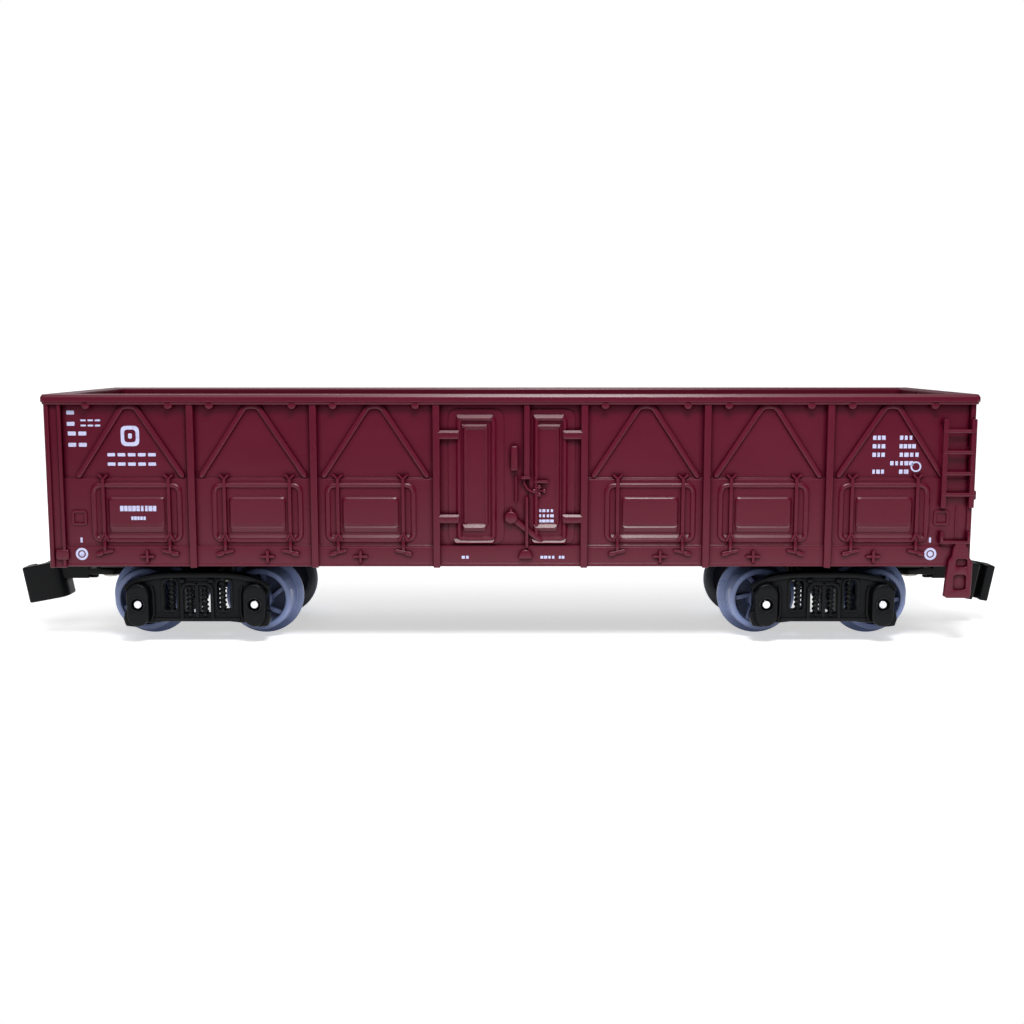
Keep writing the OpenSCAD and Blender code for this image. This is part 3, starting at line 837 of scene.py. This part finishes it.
def door_leaves(mould):
    """Two door leaves of nested beads, the right one narrower."""
    for low, high, corners, in_low, in_high in (
            (-9.8, -1.0, 1.7, -7.45, -3.45), (2.9, 10.2, (0.2, 1.7, 1.7, 0.2), 3.75, 7.8)):
        mould.plate([rounded(rect(low, high, 16.4, 37.9), corners, 5)], -SHEET_Y - 0.16, ROOT_Y, 0.14)
        edge_low = low + 1.3 if low < 0 else low + 0.8
        bead(mould, edge_low + 0.4, high - 1.65, 17.25, 36.45, 0.75, 1.05, 0.4, SHEET_Y + 0.14)
        bead(mould, in_low + 0.3, in_high - 0.3, 19.4, 34.95, 0.5, 0.7, 0.2, SHEET_Y + 0.14)
    for x0, x1, top, drop, below in (
            (-8.45, -2.7, 36.98, 0.56, 0.5), (3.65, 8.4, 36.98, 0.56, 0.5), (-7.65, -3.65, 35.45, 0.3, 0.3),
            (3.85, 7.85, 35.45, 0.3, 0.3), (-7.5, -3.9, 19.6, 0.5, 0.6), (3.7, 7.4, 19.6, 0.5, 0.6),
            (-8.95, -2.55, 17.3, 0.55, 0.3), (3.4, 8.8, 17.3, 0.55, 0.3)):
        ledge(mould, x0, x1, top, drop, SHEET_Y + 0.3, below)
    for x0, x1 in ((-DOOR_HALF, -8.05), (8.25, DOOR_HALF)):
        for z in (19.8, 33.1):
            mould.block((x0, -POST_Y + 0.05, z), (x1, ROOT_Y, z + 1.32), 0.3, 3)
            ledge(mould, x0, x1, z + 1.42, 0.36, POST_Y - 0.2, 0.3)


def door_gear(mould):
    """The locking bar between the leaves, with its bracket, handle, lever and hook."""
    face = -POST_Y + 0.05
    mould.blocks(((2.14, face, LEDGE_Z - 0.1), (3.06, ROOT_Y, POST_TOP), 0.2, 3),
                 ((2.36, face + 0.1, FRAME_Y), (2.84, ROOT_Y, 24.05), 0.14),
                 ((1.7, -POST_Y - 0.15, 26.85), (3.15, ROOT_Y, 27.35), 0.18),
                 ((3.75, face + 0.15, 26.2), (6.0, ROOT_Y, 26.65), 0.18))
    mould.ridge([(2.1, 26.9), (2.25, 26.0), (2.75, 25.2), (3.6, 24.75), (4.3, 24.6)], 0.42, 0.55, SHEET_Y)
    mould.block((0.1, -POST_Y - 0.1, 28.2), (1.15, ROOT_Y, 32.1), 0.24, 3)
    mould.ridge([(0.92, 27.2), (0.92, 23.2)], 0.36, 0.5, SHEET_Y)
    mould.plate([circle(0.1, 20.75, 0.98)], face - 0.05, ROOT_Y, 0.2, 3)
    mould.block((-0.12, face, 21.5), (0.32, ROOT_Y, 22.15), 0.15)
    mould.ridge([(0.1, 20.75), (4.7, 17.1)], 0.95, 0.62, SHEET_Y)
    cap = [(1.35, 14.2)] + arc(2.4, 14.6, 1.05, 180, 0, 10) + [(3.45, 14.2)]
    mould.plate([cap], -POST_Y - 0.1, -SILL_Y + 0.3, 0.2, 3)
    cross = [((3.75, 24.95), (5.35, 24.95)), ((4.55, 24.35), (4.55, 25.6))]
    for start, end in cross:
        mould.take(repeated(RIVETS, MAROON, Count=2, Start=(start[0], -SHEET_Y - 0.5, start[1]),
                            End=(end[0], -SHEET_Y - 0.5, end[1]), Head_Radius=0.34, Head_Height=0.22,
                            Turn=(math.radians(90), 0, 0)))
    for arm in cross:
        mould.ridge(arm, 0.36, 0.5, SHEET_Y)


def corner_posts(mould):
    """The ribbed post at the left end of a side, and the shallower one behind the ladder."""
    left, right = -HALF_L, HALF_L
    mould.blocks(((left, -PANEL_Y - 0.3, POST_FOOT), (left + 2.6, -INNER_Y, POST_TOP), 0.15),
                 ((left, -POST_Y, POST_FOOT), (left + 0.75, -INNER_Y, POST_TOP), 0.2, 3),
                 ((left + 2.05, -POST_Y, POST_FOOT), (left + 2.6, -INNER_Y - 0.4, POST_TOP), 0.2, 3),
                 ((left + 0.95, -POST_Y - 0.08, 14.0), (left + 3.05, -INNER_Y - 0.4, 15.65), 0.3, 3),
                 ((right - 0.8, -SILL_Y, POST_FOOT), (right, -INNER_Y, POST_TOP), 0.15),
                 ((right - 2.6, -PANEL_Y - 0.12, SILL_TOP), (right - 2.3, -PANEL_Y + 0.4, LEDGE_Z - 4.4), 0.1))


def end_wall(mould):
    """Two posts and three cross ribs on the right end."""
    for y in (-6.5, 6.5):
        mould.block((END_X - 0.3, y - 0.6, POST_FOOT + 0.3), (END_X + 0.75, y + 0.6, POST_TOP), 0.2, 3)
    for z in (SILL_Z, 22.4, 30.8):
        mould.block((END_X - 0.3, -SHEET_Y, z), (END_X + 0.45, SHEET_Y, z + 1.1), 0.2, 3)
    for y in (-12.4, 0, 12.4):
        wide = 5.1 if y == 0 else 4.2
        for z0, z1 in ((15.1, 21.4), (24.5, 29.8), (32.9, 37.6)):
            outline = rounded(rect(y - wide, y + wide, z0, z1), 0.7)
            mould.plate([outline], END_X - 0.3, END_X + 0.16, 0.14, facing="X")


def body_side(mould):
    """Everything on the front side; half a turn repeats it on the other."""
    lower_panels(mould)
    side_posts(mould)
    corner_posts(mould)
    end_wall(mould)
    for side in SIDES:
        for bay in (0.5, 1.5, 2.5):
            brace(mould, side * (DOOR_HALF + bay * BAY_W))
        for x in (22.1, 40.0, 59.1):
            hatch(mould, side * x)
        for x in (23.75, 38.5, 57.55):
            sill_cleat(mould, side * x)
        bead(mould, *sorted((side * 67.2, side * 69.2)), 19.7, 21.7, 0.3, 0.42, 0.18, PANEL_Y, SQUARE_BAR)
    door_leaves(mould)
    door_gear(mould)


def wagon_body():
    mould = Mould()
    tub(mould)
    load_floor(mould)
    for mould.place in BOTH_WAYS:
        body_side(mould)
    mould.piece("wagon_body", MAROON, "wagon", ["body_shell"], sharp=34)


# ---- Printed marks: plain dashes, blocks and discs ----

def patch(mould, outlines, depth):
    """A flat printed patch on a face at that depth."""
    mould.plate(outlines, -depth - 0.03, -depth + 0.05, 0.008, 1)


def print_block(mould, low, high, depth, edge=0.12):
    """A printed rectangle with soft corners."""
    patch(mould, [rounded(rect(low[0], high[0], low[1], high[1]), edge)], depth)


def print_dashes(mould, x0, x1, z0, z1, count, depth, seed):
    """A row of short blocks of uneven length."""
    pitch = (x1 - x0) / count
    mould.take(repeated(DASHES, INK, Count=count, Start=(x0 + pitch / 2, -depth, (z0 + z1) / 2),
                        End=(x1 - pitch / 2, -depth, (z0 + z1) / 2), Length=pitch * 0.92, Height=z1 - z0,
                        Thickness=0.06, Seed=seed))


def double_bars(mould, x0, x1, z0, z1, count, depth):
    """Pairs of bars, one above the other, in a row."""
    pitch = (x1 - x0) / count
    bar = (z1 - z0) * 0.26
    for i in range(count):
        low, high = x0 + i * pitch + pitch * 0.12, x0 + (i + 1) * pitch - pitch * 0.12
        print_block(mould, (low, z0), (high, z0 + bar), depth)
        print_block(mould, (low, z1 - bar), (high, z1), depth)


def printed_side(mould):
    """All the marks on one side."""
    for row in ((-69.9, -68.3, 35.2, 37.6, 1), (-67.7, -64.3, 35.1, 36.2, 3), (-69.8, -66.5, 31.9, 34.3, 2),
                (-63.7, -55.7, 28.9, 30.9, 5)):
        double_bars(mould, *row, SHEET_Y)
    emblem = [rounded(rect(-61.3, -58.4, 32.0, 35.2), 0.9), rounded(rect(-60.75, -58.95, 32.6, 34.6), 0.55)]
    patch(mould, emblem, SHEET_Y)
    print_block(mould, (-60.15, 33.2), (-59.55, 34.0), SHEET_Y, 0.2)
    print_dashes(mould, -61.7, -55.9, 21.75, 22.6, 9, PANEL_Y + 0.3, 3)
    print_dashes(mould, -60.0, -57.6, 20.35, 20.9, 5, PANEL_Y + 0.3, 5)
    for x in (-68.0, 66.65):
        patch(mould, [circle(x, 14.9, 0.98), circle(x, 14.9, 0.62)], SILL_Y)
        patch(mould, [circle(x, 14.9, 0.42)], SILL_Y)
        print_block(mould, (x - 0.22, 16.7), (x + 0.12, 17.5), PANEL_Y, 0.08)
    columns = ((61.2, 63.4, 3), (61.2, 63.9, 4), (61.2, 64.5, 4), (59.8, 63.6, 5), (61.2, 62.9, 2))
    for row, (x0, x1, count) in enumerate(columns):
        z = 33.65 - row * 1.34
        if row != 3:
            print_dashes(mould, 57.0, 59.1, z - 0.66, z, 3, SHEET_Y, 11 + row)
        print_dashes(mould, x0, x1, z - 0.66, z, count, SHEET_Y, 31 + row)
    patch(mould, [circle(64.0, 28.75, 0.84), circle(64.0, 28.75, 0.6)], SHEET_Y)
    for row in range(3):
        print_dashes(mould, 4.35, 6.9, 21.55 - row * 0.82, 22.0 - row * 0.82, 4, SHEET_Y + 0.16, 51 + row)
    for seed, (x0, x1, count) in enumerate(((-7.8, -6.5, 2), (4.7, 7.1, 4), (7.6, 8.6, 2)), 61):
        print_dashes(mould, x0, x1, 14.15, 14.6, count, SILL_Y, seed)


def printed_marks():
    mould = Mould()
    for mould.place in BOTH_WAYS:
        printed_side(mould)
    mould.piece("printed_marks", INK, "wagon")


# ---- Ladders and steps ----

def side_ladder(where, turn):
    """Two rails and four rungs; the inner rail stands on two feet."""
    mould = Mould(turn)
    out, low, high = POST_Y + 0.3, 22.3, 36.3
    mould.blocks(((67.8, -out, low), (68.6, -out + 0.4, high), 0.14, 3),
                 ((72.2, -out, low), (HALF_L, -SILL_Y, high), 0.14, 3),
                 ((67.8, -out + 0.1, high - 1), (68.6, -SHEET_Y, high - 0.2), 0.1),
                 ((67.8, -out + 0.1, low + 0.2), (68.6, -PANEL_Y, low + 1), 0.1))
    bolt = [(0, 0.12), (0.2, 0.08), (0.26, 0), (0.26, -0.2), (0, -0.2)]
    for z in RUNGS:
        mould.rod([(68.0, -out + 0.28, z), (HALF_L - 0.2, -out + 0.28, z)], 0.34)
        for x in (67.95, 68.5, 72.35, 72.8):
            mould.lathe(bolt, moved(x, -out, z) @ turned(90, "X") @ Matrix.Scale(0.7, 4), 12, closed=False)
    mould.piece(where + "_side_ladder", MAROON, "wagon", ["side_ladder_" + where])


def end_ladder(where, turn):
    """Two rails that stand on the end ribs, four rungs, and a lug at the corner on the lowest one."""
    mould = Mould(turn)
    rib = END_X + 0.45
    for y in (-15.4, -10.8):
        mould.block((HALF_L, y - 0.4, 22.3), (HALF_L + 0.6, y + 0.4, 36.3), 0.14, 3)
        for z in (22.5, 30.9):
            mould.block((rib - 0.05, y - 0.4, z), (HALF_L + 0.2, y + 0.4, z + 0.9), 0.06)
    for z in RUNGS:
        mould.rod([(HALF_L + 0.3, -17.4 if z == RUNGS[0] else -15.75, z), (HALF_L + 0.3, -10.45, z)], 0.3)
    mould.block((HALF_L, -17.8, 23.5), (HALF_L + 0.6, -16.9, 25.0), 0.24, 3)
    mould.piece(where + "_end_ladder", MAROON, "wagon", ["end_ladder_" + where])


def corner_step(where, turn):
    """The hanging step with two pockets, its narrower neck and the grab above it."""
    mould = Mould(turn)
    face = POST_Y + 0.35
    outline = [(68.8, 8.3), (69.3, 7.9), (72.9, 7.9), (73.1, 8.4), (73.2, 13.6), (72.6, 14.6), (72.3, 16.2),
               (70.1, 16.2), (69.9, 14.6), (69.4, 13.9)]
    pockets = [rounded(rect(70.55, 72.35, 12.9, 14.2), 0.45), rounded(rect(70.25, 72.25, 9.2, 11.65), 0.5)]
    mould.plate([rounded(outline, 0.2)] + pockets, -face, -face + 0.55, 0.16, 3)
    back = [(69.0, 8.0), (72.9, 8.0), (72.9, 13.6), (72.3, 14.5), (70.1, 14.5), (69.5, 13.9)]
    mould.plate([rounded(back, 0.2)], -face + 0.5, -PANEL_Y + 0.3, 0.1)
    mould.blocks(*(((70.6, -face - 0.02, z), (71.9, -face + 0.4, z + 0.28), 0.1) for z in (14.95, 15.55)),
                 ((67.9, -face, 16.6), (68.4, -PANEL_Y, 18.5), 0.14),
                 ((72.2, -face, 16.6), (72.7, -SILL_Y, 18.5), 0.14),
                 ((67.9, -face, 16.6), (72.7, -face + 0.36, 17.1), 0.16, 3),
                 ((70.3, -face + 0.05, FRAME_Y), (72.1, -SILL_Y, 16.8), 0.14))
    mould.piece(where + "_corner_step", MAROON, "wagon", ["corner_step_" + where])


# ---- Chassis ----

def chassis():
    mould = Mould()
    half_x, half_y = INNER_X - 0.2, INNER_Y - 0.2
    plate_z, plate_top, sill_low, rib_low = 13.4, 14.5, 11.5, 13.14
    screws, recess = ([circle(side * 24, 0, radius) for side in SIDES] for radius in (0.9, 1.75))
    pins = [circle(side * PIVOT_X, 0, 1.0) for side in SIDES]
    sheet = rounded(rect(-half_x, half_x, -half_y, half_y), 0.5)
    mould.plate([sheet] + screws + pins, plate_z, plate_top, 0.12, facing="Z")
    long_sill = rect(-half_x, half_x, -2.6, 2.6)
    mould.plate([long_sill] + screws + pins, sill_low + 0.9, plate_z + 0.2, 0.05, facing="Z")
    mould.plate([long_sill] + recess + pins, sill_low, sill_low + 1.0, 0.18, facing="Z")
    for y in (-15.2, 15.2, -8.9, 8.9):
        mould.block((-half_x + 1, y - 0.35, rib_low), (half_x - 1, y + 0.35, plate_z + 0.2), 0.12)
    boss = [(1.0, 11.35), (3.3, 11.35), (3.6, 11.65), (3.6, plate_top - 0.1), (1.0, plate_top - 0.1)]
    for side in SIDES:
        mould.lathe(boss, moved(side * PIVOT_X, 0, 0))
        for x in (8.5, 25.5):
            mould.block((side * x - 0.5, -half_y, 12.8), (side * x + 0.5, half_y, plate_z + 0.3), 0.15)
        for x in (36.5, 62):
            mould.block((side * x - 0.4, -half_y, rib_low), (side * x + 0.4, half_y, plate_z + 0.2), 0.12)
    tank(mould, (-9, 8), 11, 1.3)
    tank(mould, (11, -8), 6, 1.4)
    mould.rod([(2.2, 8, 12.9), (7, 8, 12.9), (9, 6.5, 12.6), (24, 4.2, 12.6)], 0.3)
    mould.rod([(11.2, -8, 12.9), (8.5, -8, 12.9), (6, -5, 12.7), (-16, -4.2, 12.7)], 0.22)
    mould.piece("chassis", BLACK, "wagon", ["underframe"])


def tank(mould, place, length, radius):
    """A cylinder with domed ends and two bands, lying along the wagon."""
    dome = [(0.0, 0.0), (radius * 0.55, 0.06), (radius * 0.85, 0.25), (radius, 0.6)]
    far = [(r, length - z) for r, z in dome[::-1]]
    lying = moved(place[0], place[1], 12.9) @ turned(90, "Y")
    mould.lathe(dome + far, lying, 32, closed=False)
    inner, outer = radius - 0.1, radius + 0.1
    for at in (length * 0.25, length * 0.75):
        mould.lathe([(inner, at - 0.3), (outer, at - 0.25), (outer, at + 0.25), (inner, at + 0.3)], lying, 32)


# ---- Bogies ----

FRAME_HALF = 11.7
# Depth of the face that the lips and ribs of a side frame stand on
FRAME_Y = 15.9
SPRING_Y = -15.7
# Across the outer opening of a side frame, from one side of the bogie's middle
WINDOW = (3.2, 5.5)


def arch_height(x):
    """Top edge of a side frame."""
    return 11.6 - 2.3 * (x / FRAME_HALF) ** 4


def bogie_side(mould):
    """One side frame on the front side: web, lips, windows, axle boxes and springs."""
    half = FRAME_HALF
    top = [(half * i / 8, arch_height(half * i / 8)) for i in range(8, -9, -1)]
    foot = [(-half + 0.5, 6.5), (-half + 0.3, 4.6), (-half + 1.0, 3.4), (-6.9, 3.35), (-5.2, 3.55), (5.2, 3.55),
            (6.9, 3.35), (half - 1.0, 3.4), (half - 0.3, 4.6), (half - 0.5, 6.5)]
    windows = []
    for side in SIDES:
        near, far = sorted(side * x for x in WINDOW)
        curve = (0.3, 1.0, 1.3, 0.3) if side > 0 else (1.0, 0.3, 0.3, 1.3)
        inner = rect(side * 1.2 - 0.88, side * 1.2 + 0.88, 4.75, 9.0)
        windows += [rounded(rect(near, far, 5.4, 10.4), curve, 5), rounded(inner, (0.3, 0.3, 0.85, 0.85), 5)]
    mould.plate([rounded(foot, 0.5) + top] + windows, -16.0, -14.0, 0.14, 2)
    lip = [(x / 10, arch_height(x / 10) - 0.42) for x in range(-112, 113, 8)]
    mould.ridge(lip, 0.84, 0.45, FRAME_Y, SQUARE_BAR)
    mould.ridge([(-6.6, 3.98), (6.6, 3.98)], 0.5, 0.3, FRAME_Y)
    mould.ridge([(-7.2, 4.75), (7.2, 4.75)], 0.22, 0.18, FRAME_Y)
    for side in SIDES:
        bolster = [(side * 2.45, 4.3), (side * 2.45, 8.9), (side * 2.1, 9.55), (side * 1.5, 9.8), (0, 9.8)]
        mould.ridge(bolster, 0.5, 0.35, FRAME_Y)
        near, far = sorted(side * x for x in WINDOW)
        mould.ridge(rounded(rect(near - 0.12, far + 0.12, 5.28, 10.52), 0.9, 5), 0.36, 0.24, FRAME_Y, closed=True)
        mould.block((side * 2.3 - 0.4, -16.5, 10.0), (side * 2.3 + 0.4, -15.8, 10.55), 0.18)
        axle_box(mould, side)
        for x, z0, z1 in ((4.1, 5.2, 10.6), (1.2, 4.5, 9.2)):
            spring(mould, side * x, z0, z1)
    mould.ridge([(0, 4.6), (0, 9.4)], 0.62, 0.32, FRAME_Y)


def spring(mould, x, z0, z1):
    """A coil spring round a dark core."""
    height, radius, pitch = z1 - z0, 0.42, 0.74
    foot = moved(x, SPRING_Y, z0)
    coil = repeated(COIL, BLACK, Coil_Radius=radius, Wire_Radius=0.2, Height=height, Turns=height / pitch)
    mould.take(coil, foot)
    mould.lathe([(0, 0), (radius, 0), (radius, height), (0, height)], foot, 12, closed=False)


def axle_box(mould, side):
    """A pill-shaped box with its bore, a lug on top, a foot below and a groove beside it."""
    x = side * AXLE_X
    pill = arc(x, 8.1, 1.75, 0, 180, 12) + arc(x, 4.7, 1.75, 180, 360, 12)
    bore = circle(x, AXLE_Z, 0.98, 24)
    mould.plate([pill, bore], -17.2, -13.0, 0.24, 3)
    collar = [(0.95, 17.05), (1.12, 17.28), (1.28, 17.28), (1.36, 17.1), (0.95, 16.8)]
    mould.lathe(collar, moved(x, 0, AXLE_Z) @ turned(90, "X"), 32)
    tilt = moved(x + side * 0.15, -16.75, 9.55) @ turned(-22, "Y")
    mould.block((-0.62, -0.4, -0.22), (0.62, 0.6, 0.22), 0.16, turn=tilt)
    mould.ridge([(x - side * 2.1, 9.2), (x - side * 2.35, 8.2), (x - side * 2.35, 4.9), (x - side * 2.05, 4.0)],
                0.42, 0.4, FRAME_Y)
    foot = rounded([(x + side * 0.2, 2.75), (x + side * 2.1, 2.95), (x + side * 2.45, 4.1), (x + side * 2.2, 5.3),
                    (x + side * 0.4, 5.4)], 0.4)
    mould.plate([foot], -16.7, -14.2, 0.2, 3)


def bogie(where, turn):
    mould = Mould()
    placed = turn @ moved(PIVOT_X, 0, 0)
    for mould.place in (placed, placed @ HALF_TURN):
        bogie_side(mould)
    mould.place = placed
    low, high = 8.4, 11.2
    centre = rounded(rect(-3.6, 3.6, -5.5, 5.5), 0.7)
    mould.plate([centre, circle(0, 0, 1.07)], low, high, 0.2, facing="Z")
    mould.lathe([(1.1, high - 0.1), (1.1, high + 0.05), (2.6, high + 0.05), (2.7, high - 0.05), (2.7, high - 0.1)])
    for side in SIDES:
        y0, y1 = sorted((side * 5.2, side * 14.2))
        mould.block((-2.3, y0, low), (2.3, y1, high), 0.25, 3)
        mould.block((-0.4, y0, low - 0.5), (0.4, y1 - side * 1.5 if side > 0 else y1, low + 0.2), 0.12)
    reach = RIVET_X - PIVOT_X
    tongue = [(3.2, -2.6), (reach, -2.6)] + arc(reach, 0, 2.6, -90, 90, 16)[1:-1] + [(reach, 2.6), (3.2, 2.6)]
    mould.plate([tongue, circle(reach, 0, 0.75)], 10.0, high, 0.18, facing="Z")
    for y in (-1.9, 1.9):
        mould.block((3.4, y - 0.3, 9.3), (reach - 4.2, y + 0.3, 10.2), 0.14)
    mould.piece(where + "_bogie_frame", BLACK, "bogie_" + where, ["bogie_frame_" + where], sharp=36)


# ---- Wheels and axles ----

def wheel(place, row, x, side, phase):
    """A flanged wheel: bright rim ring, sunk web with slanted ribs, hub."""
    mould = Mould()
    back, face = 7.1, 12.3
    web, ring, hub = face - 1.35, 4.15, 1.9
    profile = [
        (0.77, back), (hub, back), (hub, back + 1.5), (4.7, back + 1.5), (4.75, back + 0.1), (4.85, back),
        (6.1, back), (6.35, back + 0.1), (6.48, back + 0.3), (6.5, back + 0.5), (6.44, back + 0.72),
        (6.1, back + 0.95), (5.6, back + 1.1), (5.42, back + 1.3), (5.36, back + 1.7), (5.12, face - 0.4),
        (5.06, face - 0.18), (4.94, face - 0.04), (4.8, face), (ring + 0.2, face), (ring + 0.06, face - 0.05),
        (ring, face - 0.2), (ring - 0.12, web + 0.2), (ring - 0.35, web), (hub + 0.35, web),
        (hub + 0.08, web + 0.2), (hub, face - 0.35), (hub - 0.1, face - 0.15), (hub - 0.3, face - 0.1),
        (0.77, face - 0.1)]
    turn = moved(x, 0, AXLE_Z) @ turned(-90 * side, "X")
    mould.lathe(profile, turn, 72)
    ribs = repeated(RIBS, BLUE, Ribs=6, Middle_Radius=3.05, Rib_Length=2.7, Rib_Width=0.72, Rib_Height=1.1,
                    Slant=math.radians(18))
    bmesh.ops.bevel(ribs, geom=ribs.edges[:], offset=0.12, segments=2, profile=0.5, affect="EDGES")
    mould.take(ribs, turn @ moved(0, 0, web + 0.28) @ turned(phase, "Z"))
    mould.piece(f"{place}_{row}_wheel", BLUE, "wheelset_" + place, [f"wheel_{place}_{row}"], sharp=30)


def axle(place, x):
    """A turned axle with coned ends and a groove beside each wheel."""
    mould = Mould()
    end, radius = 16.9, 0.78
    half = [(radius, 0), (radius, 6.2), (radius - 0.12, 6.3), (radius - 0.12, 6.7), (radius, 6.8),
            (radius, end - 0.22), (radius - 0.06, end - 0.1), (radius - 0.2, end), (0, end)]
    profile = [(r, -z) for r, z in half[:0:-1]] + half
    mould.lathe(profile, moved(x, 0, AXLE_Z) @ turned(90, "X"), 32, closed=False)
    mould.piece(place + "_axle", AXLE_STEEL, "wheelset_" + place, ["axle_" + place], sharp=30)


# ---- Couplers ----

def coupler(where, turn):
    """An eye, a drooping arm and a hooked block head."""
    mould = Mould(turn)
    eye = arc(RIVET_X, 0, 2.3, 56, 304, 24) + [(72.7, -1.9), (72.7, 1.9)]
    mould.plate([eye, circle(RIVET_X, 0, 0.82)], 8.75, 9.88, 0.15, facing="Z")
    mould.blocks(((72.4, -1.9, 8.1), (77.6, 1.9, 10.4), 0.2, 3),
                 ((71.4, -0.5, 7.95), (77.2, 0.5, 8.9), 0.2))
    head = moved(83.7, 0, 10) @ turned(10.5, "Y")
    plan = [(-6.75, -2.7), (-3.3, -2.7), (-3.3, 1.0), (-1.6, 1.0), (-1.6, -1.0), (0, -1.0), (0, 2.7), (-6.75, 2.7)]
    corners = (1.9, 0.45, 0.5, 0.5, 0.4, 0.5, 0.6, 1.9)
    mould.plate([rounded(plan, corners, 6)], -6.25, 0, 0.26, 3, "Z", head)
    mould.piece(where + "_coupler", BLACK, "coupler_" + where, ["coupler_" + where], sharp=40)


def coupler_rivet(where, turn):
    mould = Mould(turn)
    profile = [(0, 8.2), (0.7, 8.22), (1.15, 8.3), (1.42, 8.45), (1.5, 8.6), (1.5, 8.68), (0.75, 8.68),
               (0.75, 11.2), (0, 11.2)]
    mould.lathe(profile, moved(RIVET_X, 0, 0), 32, closed=False)
    mould.piece(where + "_coupler_rivet", SCREW_STEEL, "bogie_" + where, ["coupler_rivet_" + where], sharp=30)


def dress(name, finish):
    """A better finish on a kept node."""
    shape = bpy.data.objects[name].data
    shape.materials.clear()
    shape.materials.append(finish[0])


# ---- Everything, in order ----

place_camera()
light_studio()
lay_floor()
wagon_body()
printed_marks()
for where, turn in zip(("front", "rear"), BOTH_WAYS):
    side_ladder(where, turn)
    corner_step(where, turn)
for where, turn, way in zip(("right", "left"), BOTH_WAYS, (1, -1)):
    for draw in (end_ladder, bogie, coupler, coupler_rivet):
        draw(where, turn)
    for inner, step in (("outer", AXLE_X), ("inner", -AXLE_X)):
        place = f"{where}_{inner}"
        x = way * (PIVOT_X + step)
        axle(place, x)
        for row, side in (("front", -1), ("rear", 1)):
            wheel(place, row, x, side, 17 * way + 23 * side)
    dress("kingpin_screw_" + where, SCREW_STEEL)
chassis()
dress("underframe_screws", SCREW_STEEL)
dress("ballast_weight", PLATE_STEEL)
